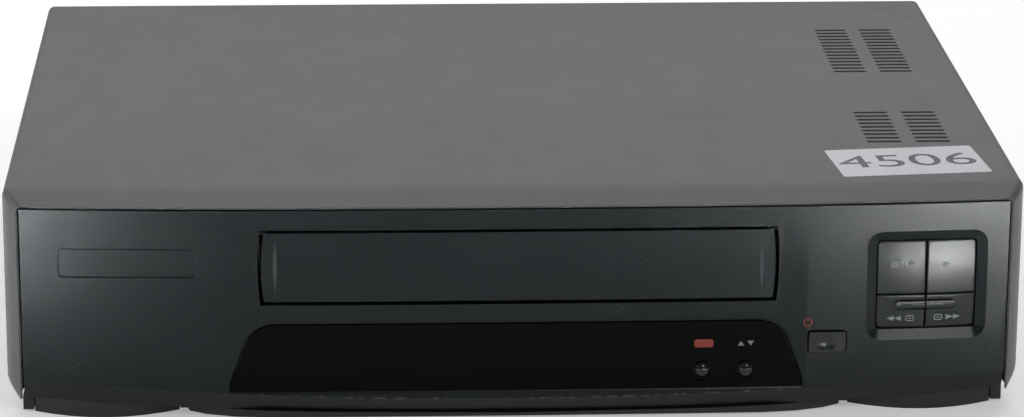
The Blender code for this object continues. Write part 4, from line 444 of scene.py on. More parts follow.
RECESS_X, RECESS_Z = (-0.1691, -0.1184), (0.0566, 0.0679)
RECESS_CORNER = 0.0016
RECESS_GROOVE, RECESS_DEPTH, RECESS_FLOOR = 0.0005, 0.0009, 0.00035

PANEL_X, PANEL_Z = (0.1300, 0.1753), (0.0296, 0.0719)
PANEL_CORNER = 0.0056
PANEL_SLOPE, PANEL_DEPTH, PANEL_WELL = 0.0037, 0.0018, 0.0060

POWER_X, POWER_Z = (0.1088, 0.1226), (0.0258, 0.0336)
POWER_CORNER, POWER_GAP = 0.0015, 0.0006

WINDOW_HEEL_X, WINDOW_SHOULDER_X = 0.1063, 0.0976
WINDOW_FOOT, WINDOW_HEEL, WINDOW_TOP = 0.0096, 0.0140, 0.0396
WINDOW_FOOT_RISE, WINDOW_TOP_FALL = 0.0020, 0.0019
WINDOW_SHOULDER_ROUND, WINDOW_HEEL_ROUND = 0.0075, 0.0012
# The bed rolls in round the window, step by step across and back
ROLL_STEPS = ((0.0005, 0.00012), (0.0005, 0.00030), (0.0004, 0.00055), (0.0002, 0.0004))
ROLL_WIDTH = 0.0016

CHARCOAL = (0.0050, 0.0090, 0.0098)
DUST, DUST_SHARE = (0.20, 0.20, 0.19), 0.5
DUST_CELLS, DUST_SIZE, DUST_PICK = 330.0, 0.045, 0.80
SCRATCH_GREY, SCRATCH_SHARE = (0.10, 0.105, 0.11), 0.35
# The slant of the scratches and how a noise is drawn out into them
SCRATCHES = ((0.6, (45.0, 45.0, 1700.0)), (-1.0, (60.0, 60.0, 2100.0)))
SCRATCH_SPAN = (0.76, 0.82)
SCRATCH_PATCH_SCALE, SCRATCH_PATCH_SPAN = 35.0, (0.55, 0.65)
# Edges are drawn lighter in this grey, partly as rubbed wear and partly as painted highlight
WEAR_AND_HIGHLIGHT_GREY, WEAR_AND_HIGHLIGHT_SHARE = (0.20, 0.21, 0.22), 0.30
EDGE_RADIUS, EDGE_SAMPLES = 0.0005, 4
EDGE_SPAN = (0.98, 0.86)
EDGE_PATCH_SCALE, EDGE_LEAST_SHARE = 90.0, 0.2
CHIP_BROWN, CHIP_SHARE = (0.17, 0.12, 0.08), 0.55
CHIP_HALF_HEIGHT = 0.00045
CHIP_SCALE, CHIP_DETAIL, CHIP_SPAN = 260.0, 2.0, (0.52, 0.62)


def bow(x):
    """The y of the fascia's front surface at x."""
    return FRONT - BOW * (1 - (abs(x) / FASCIA_HALF) ** 3)


def raised(x, height, rise):
    """A height on the fascia that climbs towards its ends."""
    return height + rise * (x / FASCIA_HALF) ** 2


def moved(shape, verts, *way):
    """Moves vertices by x, y and z."""
    bmesh.ops.translate(shape, verts=verts, vec=way)


def new_verts(result, made="geom"):
    """The vertices that an extrusion or a cut made."""
    return [part for part in result[made] if isinstance(part, bmesh.types.BMVert)]


def drawn_out(shape):
    """Draws a shape's faces out into a block, and gives the new vertices to be moved."""
    return new_verts(bmesh.ops.extrude_face_region(shape, geom=shape.faces[:]))


def sliced(shape, low, high, pitch, axis):
    """Cuts a shape at every step along an axis, so that it can be bent."""
    normal = Vector((axis == X, axis == Y, axis == Z))
    for step in range(math.ceil(low / pitch), math.ceil(high / pitch)):
        geom = shape.verts[:] + shape.edges[:] + shape.faces[:]
        bmesh.ops.bisect_plane(shape, geom=geom, plane_co=normal * step * pitch, plane_no=normal)


def bent(shape):
    """Slices a shape that was made flat and bends it to the fascia's bow."""
    across = [vert.co.x for vert in shape.verts]
    sliced(shape, min(across), max(across), SLICE, X)
    for vert in shape.verts:
        vert.co.y += bow(vert.co.x)


def grown(span, margin):
    """A span grown by a margin at both ends."""
    return span[0] - margin, span[1] + margin


def oblong(x, z):
    """The corners of an upright oblong, from its spans across and up."""
    return ((x[0], z[0]), (x[1], z[0]), (x[1], z[1]), (x[0], z[1]))


def rounded(shape, verts, radius, steps):
    """Rounds a flat shape at some of its corners."""
    bmesh.ops.bevel(shape, geom=verts, offset=radius, offset_type="OFFSET", segments=steps, profile=0.5,
                    affect="VERTICES", material=-1)


def plate(corners, radii, steps=6):
    """A flat upright face with rounded corners."""
    shape = bmesh.new()
    verts = [shape.verts.new((x, 0.0, z)) for x, z in corners]
    shape.faces.new(verts)
    for vert, radius in zip(verts, radii):
        rounded(shape, [vert], radius, steps)
    return shape


def thickened(shape, front, back):
    """Gives a flat upright face a thickness from front to back."""
    moved(shape, shape.verts, 0.0, front, 0.0)
    moved(shape, drawn_out(shape), 0.0, back - front, 0.0)


def drawn_in(shape, face, width):
    """Draws a face in from its edges, with a border left round it."""
    bmesh.ops.inset_region(shape, faces=[face], thickness=width, use_even_offset=True, use_boundary=True)


def stepped(shape, start, steps):
    """Draws a flat upright face in and along y by steps of width and depth, as a closed block."""
    moved(shape, shape.verts, 0.0, start, 0.0)
    face = shape.faces[:][0]
    for width, depth in steps:
        if width:
            drawn_in(shape, face, width)
        else:
            made = bmesh.ops.extrude_face_region(shape, geom=[face])["geom"]
            front = face
            face = next(part for part in made if isinstance(part, bmesh.types.BMFace))
            shape.faces.remove(front)
        moved(shape, face.verts[:], 0.0, depth, 0.0)
    bmesh.ops.holes_fill(shape, edges=shape.edges[:], sides=0)


def profile(corners, left, right):
    """A face given by its depths and heights, drawn out from left to right."""
    shape = bmesh.new()
    shape.faces.new([shape.verts.new((left, y, z)) for y, z in corners])
    moved(shape, drawn_out(shape), right - left, 0.0, 0.0)
    return shape


def swung(shape, verts, degrees, axis):
    """Turns vertices about an axis through the origin."""
    matrix = Matrix.Rotation(math.radians(degrees), 3, axis)
    bmesh.ops.rotate(shape, verts=verts, cent=(0.0, 0.0, 0.0), matrix=matrix)


def bar(axis, centre, radius, low, high, sides=48, shape=None):
    """A round bar between two places along an axis, as a new shape or added to one."""
    shape = bmesh.new() if shape is None else shape
    made = bmesh.ops.create_cone(shape, cap_ends=True, segments=sides, radius1=radius, radius2=radius,
                                 depth=high - low)["verts"]
    swung(shape, made, 90, "Y" if axis == X else "X")
    place = list(centre)
    place.insert(axis, (low + high) / 2)
    moved(shape, made, *place)
    return shape


def closed(name, shape):
    """A closed shape as a piece, its doubles merged and its faces turned outwards."""
    bmesh.ops.remove_doubles(shape, verts=shape.verts, dist=WELD)
    bmesh.ops.recalc_face_normals(shape, faces=shape.faces)
    return as_object(name, shape)


def settled(thing):
    """The mesh that an object's modifiers or words come to."""
    return bpy.data.meshes.new_from_object(thing.evaluated_get(bpy.context.evaluated_depsgraph_get()))


def worked(piece, shape, way="DIFFERENCE"):
    """Cuts a shape out of a piece, or joins it on."""
    tool = closed(piece.name + "_tool", shape)
    step = piece.modifiers.new("worked", "BOOLEAN")
    step.operation = way
    step.solver = "EXACT"
    step.object = tool
    result = settled(piece)
    piece.modifiers.clear()
    piece.data = result
    bpy.data.objects.remove(tool)


def window_outline(margin):
    """The window's outline, grown by a margin."""
    half, shoulder = WINDOW_HEEL_X + margin, WINDOW_SHOULDER_X + margin
    foot, top = WINDOW_FOOT - margin / 4, WINDOW_TOP + margin
    corners = ((-half, foot), (half, foot), (half, WINDOW_HEEL), (shoulder, top), (-shoulder, top),
               (-half, WINDOW_HEEL))
    radii = [WINDOW_HEEL_ROUND] * 3 + [WINDOW_SHOULDER_ROUND + margin] * 2 + [WINDOW_HEEL_ROUND]
    return plate(corners, radii, steps=8)


def window_swept(shape):
    """Lifts the window's foot and lowers its top towards its ends."""
    for vert in shape.verts:
        share = (vert.co.z - WINDOW_FOOT) / (WINDOW_TOP - WINDOW_FOOT)
        lift = WINDOW_FOOT_RISE * (1 - share) - WINDOW_TOP_FALL * share
        vert.co.z += lift * (vert.co.x / WINDOW_HEEL_X) ** 2


def slot_outline(margin):
    """The cassette slot's outline, drawn in by a margin, with its ends swelling a little."""
    half = SLOT_HALF - margin
    low, high = grown(SLOT_Z, -margin)
    span = (SLOT_MIDDLE_X - half, SLOT_MIDDLE_X + half)
    shape = plate(oblong(span, (low, high)), [SLOT_CORNER] * 4, steps=4)
    sliced(shape, low, high, SLICE, Z)
    for vert in shape.verts:
        aside = vert.co.x - SLOT_MIDDLE_X
        if abs(aside) > half - 2 * SLOT_CORNER:
            share = (vert.co.z - (low + high) / 2) / (high - low) * 2
            vert.co.x -= math.copysign(SLOT_SWELL * share ** 2, aside)
    return shape


corners = ((0.0, FASCIA_TOP), (0.0, CREASE), (LOWER_SETBACK, LOWER_EDGE),
           (LOWER_SETBACK + FASCIA_WALL, LOWER_EDGE), (FASCIA_WALL, CREASE + HAIR),
           (FASCIA_WALL, FASCIA_TOP - FASCIA_WALL), (FASCIA_FLANGE, FASCIA_TOP - FASCIA_WALL),
           (FASCIA_FLANGE, FASCIA_TOP))
shape = profile(corners, -FASCIA_HALF, FASCIA_HALF)
sliced(shape, -FASCIA_HALF, FASCIA_HALF, SLICE, X)
for vert in shape.verts:
    if vert.co.z < LOWER_EDGE + HAIR:
        vert.co.z = raised(vert.co.x, vert.co.z, LOWER_EDGE_RISE)
    elif vert.co.z < CREASE + 2 * HAIR:
        vert.co.z = raised(vert.co.x, vert.co.z, CREASE_RISE)
    elif abs(vert.co.x) > FASCIA_HALF - HAIR:
        vert.co.z -= FASCIA_CORNER
    vert.co.y += FRONT if vert.co.y > FASCIA_FLANGE - HAIR else bow(vert.co.x)
fascia = closed("satin_fascia", shape)

chute_z = grown(SLOT_Z, CHUTE_WALL)
chute_depth = (FRONT - BOW + CHUTE_START, FRONT + FASCIA_RETURN)
chute_x = (SLOT_MIDDLE_X - SLOT_HALF - CHUTE_WALL, SLOT_MIDDLE_X + SLOT_HALF + CHUTE_WALL)
worked(fascia, profile(oblong(chute_depth, chute_z), *chute_x), "UNION")
end_foot = raised(FASCIA_HALF, LOWER_EDGE, LOWER_EDGE_RISE)
end_crease = raised(FASCIA_HALF, CREASE, CREASE_RISE)
for side in (-1, 1):
    corners = ((FRONT + HAIR, FASCIA_TOP - FASCIA_CORNER - HAIR), (FRONT + HAIR, end_crease),
               (FRONT + LOWER_SETBACK + HAIR, end_foot + HAIR), (FRONT + FASCIA_RETURN, end_foot + HAIR),
               (FRONT + FASCIA_RETURN, FASCIA_TOP - FASCIA_CORNER - HAIR))
    wall = (side * (FASCIA_HALF - FASCIA_WALL), side * (FASCIA_HALF - HAIR))
    worked(fascia, profile(corners, *wall), "UNION")
    cheek = [SLOT_MIDDLE_X + side * out for out in (SLOT_HALF - OVERRUN, SLOT_HALF + CHUTE_WALL - HAIR)]
    cheek_depth = (FRONT + FASCIA_RETURN - FASCIA_WALL, FRONT + CHEEK_DEPTH)
    worked(fascia, profile(oblong(cheek_depth, grown(chute_z, -HAIR)), *cheek), "UNION")

shape = slot_outline(0.0)
thickened(shape, FRONT - BOW - OVERRUN, FRONT + CHEEK_DEPTH + OVERRUN)
worked(fascia, shape)
shape = plate(oblong(RECESS_X, RECESS_Z), [RECESS_CORNER] * 4, steps=5)
thickened(shape, -OVERRUN, RECESS_DEPTH)
bent(shape)
worked(fascia, shape)
inner = oblong(grown(RECESS_X, -RECESS_GROOVE), grown(RECESS_Z, -RECESS_GROOVE))
shape = plate(inner, [RECESS_CORNER - RECESS_GROOVE] * 4, steps=5)
thickened(shape, RECESS_FLOOR, FASCIA_WALL - HAIR)
bent(shape)
worked(fascia, shape, "UNION")
shape = plate(oblong(PANEL_X, PANEL_Z), [PANEL_CORNER] * 4, steps=8)
stepped(shape, -OVERRUN, ((0.0, OVERRUN), (PANEL_SLOPE, PANEL_DEPTH), (0.0, PANEL_WELL)))
bent(shape)
worked(fascia, shape)
power_hole = oblong(grown(POWER_X, POWER_GAP), grown(POWER_Z, POWER_GAP))
shape = plate(power_hole, [POWER_CORNER] * 4, steps=5)
thickened(shape, -OVERRUN, PANEL_WELL)
bent(shape)
worked(fascia, shape)
shape = window_outline(ROLL_WIDTH)
stepped(shape, -OVERRUN, ((0.0, OVERRUN), *ROLL_STEPS, (0.0, 4 * HAIR)))
window_swept(shape)
bent(shape)
worked(fascia, shape)


def dusted(tree, place, colour):
    """Sparse pale specks of dust."""
    cells = add_node(tree, "ShaderNodeTexVoronoi", {"Vector": place, "Scale": DUST_CELLS})
    grey = add_node(tree, "ShaderNodeSeparateColor", {"Color": cells.outputs["Color"]})
    near = maths(tree, "LESS_THAN", cells.outputs["Distance"], DUST_SIZE)
    picked = maths(tree, "GREATER_THAN", grey.outputs[0], DUST_PICK)
    share = maths(tree, "MULTIPLY", maths(tree, "MULTIPLY", near, picked), DUST_SHARE)
    return blend(tree, share, colour, DUST)


def scratched(tree, place, colour):
    """Hair-thin rub marks that slant across the front in patches."""
    for slant, stretch in SCRATCHES:
        slanted = add_node(tree, "ShaderNodeMapping", {"Vector": place, "Rotation": (0.0, slant, 0.0)})
        drawn = add_node(tree, "ShaderNodeMapping", {"Vector": slanted.outputs[0], "Scale": stretch})
        thin = spread(tree, noise(tree, drawn.outputs[0], 1.0), SCRATCH_SPAN, 0.0, SCRATCH_SHARE)
        patch = noise(tree, place, SCRATCH_PATCH_SCALE, detail=1.0)
        here = spread(tree, patch, SCRATCH_PATCH_SPAN, 0.0, 1.0)
        colour = blend(tree, maths(tree, "MULTIPLY", thin, here), colour, SCRATCH_GREY)
    return colour


def edge_worn_and_highlit(tree, place, colour):
    """The skin drawn lighter along its edges, more in some places than in others, partly as rubbed wear and
    partly as painted highlight.
    """
    eased = add_node(tree, "ShaderNodeBevel", {"Radius": EDGE_RADIUS})
    eased.samples = EDGE_SAMPLES
    true = tree.nodes.new("ShaderNodeNewGeometry")
    match = tree.nodes.new("ShaderNodeVectorMath")
    match.operation = "DOT_PRODUCT"
    tree.links.new(eased.outputs[0], match.inputs[0])
    tree.links.new(true.outputs["Normal"], match.inputs[1])
    edge = spread(tree, match.outputs["Value"], EDGE_SPAN, 0.0, WEAR_AND_HIGHLIGHT_SHARE)
    patch = mottle(tree, place, EDGE_PATCH_SCALE, EDGE_LEAST_SHARE, 1.0)
    return blend(tree, maths(tree, "MULTIPLY", edge, patch), colour, WEAR_AND_HIGHLIGHT_GREY)


def chipped(tree, place, colour):
    """Light brown chips along the crease under the window."""
    spot = add_node(tree, "ShaderNodeSeparateXYZ", {"Vector": place})
    aside = maths(tree, "ABSOLUTE", spot.outputs["X"])
    share = maths(tree, "POWER", maths(tree, "DIVIDE", aside, FASCIA_HALF), 2.0)
    crease = maths(tree, "ADD", maths(tree, "MULTIPLY", share, CREASE_RISE), CREASE)
    off = maths(tree, "ABSOLUTE", maths(tree, "SUBTRACT", spot.outputs["Z"], crease))
    line = maths(tree, "LESS_THAN", off, CHIP_HALF_HEIGHT)
    under = maths(tree, "LESS_THAN", aside, WINDOW_HEEL_X)
    patch = spread(tree, noise(tree, place, CHIP_SCALE, CHIP_DETAIL), CHIP_SPAN, 0.0, CHIP_SHARE)
    here = maths(tree, "MULTIPLY", maths(tree, "MULTIPLY", line, under), patch)
    return blend(tree, here, colour, CHIP_BROWN)


charcoal = finish("satin_charcoal", CHARCOAL, rough=0.31, grain=2200.0, relief=0.000008, variation=0.10,
                  specular=0.24)
# The lighter edges on the fascia are partly wear and partly painted highlight
for change in (scratched, edge_worn_and_highlit, chipped, dusted):
    recoloured(charcoal, change)
skinned(fascia, "front_fascia", charcoal, 0.0)


# Display window
# A smoked, almost black acrylic plate, polished on its face and pressed into its bed in the fascia.
# A shallow crescent is moulded beside each round button that comes through it.

WINDOW_SINK = 0.0006
WINDOW_PLATE = 0.0009
RECORD_X, CHANNEL_X, DOME_Z = 0.0690, 0.0853, 0.0195
DOME_RADIUS = 0.0029
BUTTON_GAP = 0.0004
CRESCENT_RADIUS, CRESCENT_SHIFT, CRESCENT_DEPTH = 0.0038, 0.0009, 0.0006
SMOKED_BLACK = (0.0012, 0.0013, 0.0012)

shape = window_outline(-HAIR)
thickened(shape, WINDOW_SINK, WINDOW_SINK + WINDOW_PLATE)
window_swept(shape)
bent(shape)
window = closed("smoked_window", shape)
for x in (RECORD_X, CHANNEL_X):
    near = FRONT - BOW - OVERRUN
    worked(window, bar(Y, (x, DOME_Z), DOME_RADIUS + BUTTON_GAP, near, FRONT + OVERRUN))
    middle = (x - CRESCENT_SHIFT, DOME_Z - CRESCENT_SHIFT)
    worked(window, bar(Y, middle, CRESCENT_RADIUS, near, bow(x) + WINDOW_SINK + CRESCENT_DEPTH))
smoked_acrylic = finish("smoked_acrylic", SMOKED_BLACK, rough=0.13, grain=300.0, relief=0.000003,
                        variation=0.10, specular=0.06)
recoloured(smoked_acrylic, dusted)
skinned(window, "display_window", smoked_acrylic, FRONT_EDGE)


# Round record and channel buttons
# Two small black domes, smooth from the mould, that stand out through the window.

DOME_PROUD = 0.0012
DOME_RISE = 0.0020
DOME_BACK = 0.0089
DOME_STEPS, DOME_SIDES = 8, 36
DOME_BLACK = (0.010, 0.010, 0.011)

dome_black = finish("dome_black", DOME_BLACK, rough=0.14, grain=900.0, relief=0.000003)
for node, x in (("record_button", RECORD_X), ("channel_button", CHANNEL_X)):
    shape = bmesh.new()
    crown = NOSE - DOME_PROUD
    verts = [shape.verts.new((0.0, crown, 0.0))]
    for step in range(1, DOME_STEPS + 1):
        angle = math.radians(90) * step / DOME_STEPS
        fall = DOME_RISE * (1 - math.cos(angle))
        verts.append(shape.verts.new((DOME_RADIUS * math.sin(angle), crown + fall, 0.0)))
    verts.append(shape.verts.new((DOME_RADIUS, FRONT + DOME_BACK, 0.0)))
    verts.append(shape.verts.new((0.0, FRONT + DOME_BACK, 0.0)))
    edges = [shape.edges.new(pair) for pair in zip(verts, verts[1:])]
    bmesh.ops.spin(shape, geom=verts + edges, cent=(0.0, 0.0, 0.0), axis=(0.0, 1.0, 0.0),
                   angle=math.radians(360), steps=DOME_SIDES, use_merge=True)
    moved(shape, shape.verts, x, 0.0, DOME_Z)
    skinned(closed(node + "_dome", shape), node, dome_black, 0.0)


# Cassette flap
# A bowed plate in the fascia's charcoal, hinged on two pins along its top edge so that a cassette pushes it
# in. A slender upright rib, thickest at its middle, stands near each end, in a far paler grey that is
# painted highlight.

FLAP_GAP = 0.0014
FLAP_FRONT, FLAP_BACK = 0.0005, 0.0022
PIN_RADIUS, PIN_REACH, PIN_SIDES = 0.0007, 0.0004, 16
HINGE_SPOT = (-0.1487, 0.0736)
RIB_IN = 0.0065
RIB_HALF_WIDTH, RIB_HALF_LENGTH, RIB_PROUD = 0.0009, 0.0105, 0.0008
# The ribs' grey, far paler than the fascia's charcoal, is painted highlight
RIB_HIGHLIGHT_GREY = (0.060, 0.066, 0.070)

rib_highlight_charcoal = finish("rib_highlight_charcoal", RIB_HIGHLIGHT_GREY, rough=0.28, grain=2200.0, relief=0.000005)
shape = slot_outline(FLAP_GAP)
thickened(shape, FLAP_FRONT, FLAP_BACK)
bent(shape)
flap = closed("satin_flap", shape)
for side in (-1, 1):
    ends = (SLOT_HALF - FLAP_GAP - 2 * SLOT_SWELL, SLOT_HALF + PIN_REACH)
    reach = sorted(SLOT_MIDDLE_X + side * end for end in ends)
    worked(flap, bar(X, HINGE_SPOT, PIN_RADIUS, *reach, PIN_SIDES), "UNION")
    shape = bmesh.new()
    bmesh.ops.create_grid(shape, x_segments=8, y_segments=24, size=1.0)
    x = SLOT_MIDDLE_X + side * (SLOT_HALF - RIB_IN)
    for vert in shape.verts:
        across, along = vert.co.x, vert.co.y
        taper = 1 - along ** 2
        vert.co.x = across * RIB_HALF_WIDTH * taper
        vert.co.y = FLAP_FRONT + HAIR - (RIB_PROUD + HAIR) * (1 - abs(across)) * taper
        vert.co.z = sum(SLOT_Z) / 2 + along * RIB_HALF_LENGTH
    for vert in drawn_out(shape):
        vert.co.y = (FLAP_FRONT + FLAP_BACK) / 2
    moved(shape, shape.verts, x, bow(x), 0.0)
    rib = closed("flap_rib_left" if side < 0 else "flap_rib_right", shape)
    rib.data.materials.append(rib_highlight_charcoal)
    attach(rib, "flap")
skinned(flap, "cassette_flap", charcoal, FRONT_EDGE)


# Transport buttons
# Four satin buttons fill the well and share one gently domed face; a slim bar crosses the lower two.
# Each is moulded with a stem that presses a switch on the board behind it.

KEY_SPLIT_X, KEY_SPLIT_Z = 0.1524, 0.0470
KEY_CORNER = 0.0014
KEY_SINK, KEY_FALL = 0.0005, 0.0020
# The rim of a button turns over in two steps across and forward
KEY_RIM = ((0.00025, -0.00035), (0.0004, -0.0002))
KEY_BACK = 0.0065
KEY_PITCH = 0.0012
STEM_RADIUS, STEM_END, STEM_SIDES = 0.0020, 0.0089, 24
BAR_X, BAR_Z = (0.1412, 0.1635), (0.0417, 0.0445)
BAR_GAP, BAR_POCKET, BAR_PROUD, BAR_PITCH = 0.0007, 0.0012, 0.0006, 0.0004
ROUND_END_SHARE = 0.49
WELL_X = grown(PANEL_X, -PANEL_SLOPE)
WELL_Z = grown(PANEL_Z, -PANEL_SLOPE)
LEFT_KEYS = (WELL_X[0] + BUTTON_GAP, KEY_SPLIT_X - BUTTON_GAP / 2)
RIGHT_KEYS = (KEY_SPLIT_X + BUTTON_GAP / 2, WELL_X[1] - BUTTON_GAP)
LOW_KEYS = (WELL_Z[0] + BUTTON_GAP, KEY_SPLIT_Z - BUTTON_GAP / 2)
HIGH_KEYS = (KEY_SPLIT_Z + BUTTON_GAP / 2, WELL_Z[1] - BUTTON_GAP)


def key_fall(x, z):
    """How far the buttons' shared face falls back from its crown."""
    across = (2 * x - sum(WELL_X)) / (WELL_X[1] - WELL_X[0])
    above = (2 * z - sum(WELL_Z)) / (WELL_Z[1] - WELL_Z[0])
    return KEY_FALL * (across ** 2 + above ** 2) / 2


def round_ended(x, z, left):
    """A low oblong with one round end."""
    end = (z[1] - z[0]) * ROUND_END_SHARE
    radii = [end, HAIR, HAIR, end] if left else [HAIR, end, end, HAIR]
    return plate(oblong(x, z), radii, steps=8)


rubbed_charcoal = finish("rubbed_charcoal", CHARCOAL, rough=0.24, grain=2200.0, relief=0.000005,
                         variation=0.10, specular=0.42)
# The lighter edges on the buttons are partly wear and partly painted highlight
recoloured(rubbed_charcoal, edge_worn_and_highlit)
recoloured(rubbed_charcoal, dusted)
for node, x, z in (("stop_button", LEFT_KEYS, HIGH_KEYS), ("play_button", RIGHT_KEYS, HIGH_KEYS),
                   ("rewind_button", LEFT_KEYS, LOW_KEYS), ("fast_forward_button", RIGHT_KEYS, LOW_KEYS)):
    left = x == LEFT_KEYS
    radii = []
    for corner_x, corner_z in oblong(x, z):
        outer = corner_x in (LEFT_KEYS[0], RIGHT_KEYS[1]) and corner_z in (LOW_KEYS[0], HIGH_KEYS[1])
        radii.append(KEY_CORNER if outer else KEY_CORNER / 4)
    shape = plate(oblong(x, z), radii, steps=5)
    rim_depth = sum(depth for width, depth in KEY_RIM)
    stepped(shape, KEY_BACK, ((0.0, KEY_SINK - rim_depth - KEY_BACK), *KEY_RIM))
    sliced(shape, *z, KEY_PITCH, Z)
    sliced(shape, *x, KEY_PITCH, X)
    for vert in shape.verts:
        if vert.co.y < KEY_BACK - HAIR:
            vert.co.y += bow(vert.co.x) + key_fall(vert.co.x, vert.co.z)
        else:
            vert.co.y += FRONT
    key = closed(node + "_cap", shape)
    middle = (sum(x) / 2, sum(z) / 2)
    stem = bar(Y, middle, STEM_RADIUS, FRONT + KEY_BACK - HAIR, FRONT + STEM_END, STEM_SIDES)
    worked(key, stem, "UNION")
    if z == LOW_KEYS:
        pocket_x = (BAR_X[0] - BAR_GAP, x[1] + OVERRUN) if left else (x[0] - OVERRUN, BAR_X[1] + BAR_GAP)
        crest_x = (BAR_X[0], x[1]) if left else (x[0], BAR_X[1])
        shape = round_ended(pocket_x, grown(BAR_Z, BAR_GAP), left)
        thickened(shape, -OVERRUN, KEY_SINK + BAR_POCKET)
        bent(shape)
        worked(key, shape)
        shape = round_ended(crest_x, BAR_Z, left)
        thickened(shape, KEY_SINK - BAR_PROUD, KEY_SINK + 2 * BAR_POCKET)
        sliced(shape, *BAR_Z, BAR_PITCH, Z)
        for vert in shape.verts:
            if vert.co.y < KEY_SINK:
                share = (2 * vert.co.z - sum(BAR_Z)) / (BAR_Z[1] - BAR_Z[0])
                vert.co.y += BAR_PROUD * share ** 2
        bent(shape)
        worked(key, shape, "UNION")
    skinned(key, node, rubbed_charcoal, 0.0)


# Power button
# A small oblong button with a round dish for a fingertip, standing just proud of the fascia.

POWER_PROUD, POWER_EDGE = 0.0009, 0.0005
DISH_DEPTH, DISH_BALL = 0.0008, 0.0090

shape = plate(oblong(POWER_X, POWER_Z), [POWER_CORNER - POWER_GAP] * 4)
thickened(shape, -POWER_PROUD, KEY_BACK)
bent(shape)
power = closed("power_cap", shape)
x, z = sum(POWER_X) / 2, sum(POWER_Z) / 2
stem = bar(Y, (x, z), STEM_RADIUS, FRONT + KEY_BACK - 3 * HAIR, FRONT + STEM_END, STEM_SIDES)
worked(power, stem, "UNION")
shape = bmesh.new()
bmesh.ops.create_uvsphere(shape, u_segments=64, v_segments=48, radius=DISH_BALL)
moved(shape, shape.verts, x, bow(x) - POWER_PROUD + DISH_DEPTH - DISH_BALL, z)
worked(power, shape)
skinned(power, "power_button", rubbed_charcoal, POWER_EDGE)


# Printing on the front
# Small symbols in pale grey, red and dark ink, pad-printed on the buttons, the window and the fascia.

INK_SKIN = 0.00003
PALE_INK, RED_INK, DARK_INK = (0.30, 0.31, 0.32), (0.36, 0.055, 0.03), (0.003, 0.003, 0.003)
OUTLINE = 0.00035
TAG_X, TAG_Z = (0.0660, 0.0731), (0.0280, 0.0311)
# The arrows, dash and frame that both winding buttons carry, across and up
WIND_ARROW, WIND_DASH, WIND_FRAME = (0.0028, 0.0020), (0.0012, 0.00035), (0.0031, 0.0023)
FRAME_CORNER, TAG_CORNER = 0.0006, 0.0007
POWER_MARK_X, POWER_MARK_Z, POWER_RING = 0.1083, 0.0373, (0.00125, 0.00165)
RING_DEGREES, RING_STEPS = 300, 30

pale_ink = finish("pale_ink", PALE_INK, rough=0.55, grain=900.0, relief=0.000005)
red_ink = finish("red_ink", RED_INK, rough=0.50, grain=900.0, relief=0.000005)
dark_ink = finish("dark_ink", DARK_INK, rough=0.50, grain=900.0, relief=0.000005)


def around(x, z, width, height):
    """The corners of an oblong given by its middle and size."""
    return oblong((x - width / 2, x + width / 2), (z - height / 2, z + height / 2))


def arrow(x, z, width, height, way):
    """A triangle that points left, right, up or down."""
    left, right, low, high = x - width / 2, x + width / 2, z - height / 2, z + height / 2
    return {"left": ((left, z), (right, low), (right, high)),
            "right": ((left, high), (left, low), (right, z)),
            "up": ((left, low), (right, low), (x, high)),
            "down": ((right, high), (left, high), (x, low))}[way]


def ringed(corners, radius):
    """An outline drawn round an oblong."""
    shape = plate(corners, [radius] * 4)
    face = shape.faces[:][0]
    drawn_in(shape, face, OUTLINE)
    shape.faces.remove(face)
    return shape


def printed(name, shape, surface, body, ink):
    """Lays a flat shape on a surface as a skin of ink."""
    across = [vert.co.x for vert in shape.verts]
    sliced(shape, min(across), max(across), KEY_PITCH, X)
    upright = [vert.co.z for vert in shape.verts]
    sliced(shape, min(upright), max(upright), KEY_PITCH, Z)
    for vert in shape.verts:
        vert.co.y = surface(vert.co.x, vert.co.z) - INK_SKIN
    moved(shape, drawn_out(shape), 0.0, 2 * INK_SKIN, 0.0)
    mark = closed(name, shape)
    mark.data.materials.append(ink)
    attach(mark, body)


# The y of each surface that is printed on, at x and z
def on_key(x, z):
    return bow(x) + KEY_SINK + key_fall(x, z)


def on_window(x, z):
    return bow(x) + WINDOW_SINK


def on_fascia(x, z):
    crease, edge = raised(x, CREASE, CREASE_RISE), raised(x, LOWER_EDGE, LOWER_EDGE_RISE)
    return bow(x) + LOWER_SETBACK * max(0.0, (crease - z) / (crease - edge))


def sharp(corners):
    """A flat face with sharp corners."""
    return plate(corners, [HAIR] * len(corners), steps=1)


# Each mark's name, outline, surface, body and ink
for name, corners, surface, body, ink in (
        ("stop_square", around(0.1408, 0.0590, 0.0034, 0.0026), on_key, "stop_key", pale_ink),
        ("stop_slash", ((0.14335, 0.0574), (0.1437, 0.0574), (0.1447, 0.0608), (0.14435, 0.0608)), on_key,
         "stop_key", pale_ink),
        ("eject_arrow", arrow(0.1466, 0.0598, 0.0026, 0.0017, "up"), on_key, "stop_key", pale_ink),
        ("eject_bar", around(0.1466, 0.0581, 0.0026, 0.0005), on_key, "stop_key", pale_ink),
        ("play_arrow", arrow(0.1599, 0.0586, 0.0026, 0.0026, "right"), on_key, "play_key", pale_ink),
        ("channel_arrow_up", arrow(0.0835, 0.0294, 0.0026, 0.0019, "up"), on_window, "chassis", pale_ink),
        ("channel_arrow_down", arrow(0.0871, 0.0294, 0.0026, 0.0019, "down"), on_window, "chassis",
         pale_ink),
        ("window_arrow", arrow(0.1021, 0.0062, 0.0030, 0.0020, "down"), on_fascia, "chassis", dark_ink),
        ("power_stroke", around(POWER_MARK_X, 0.0386, 0.0004, 0.0017), on_fascia, "chassis", red_ink)):
    printed(name, sharp(corners), surface, body, ink)
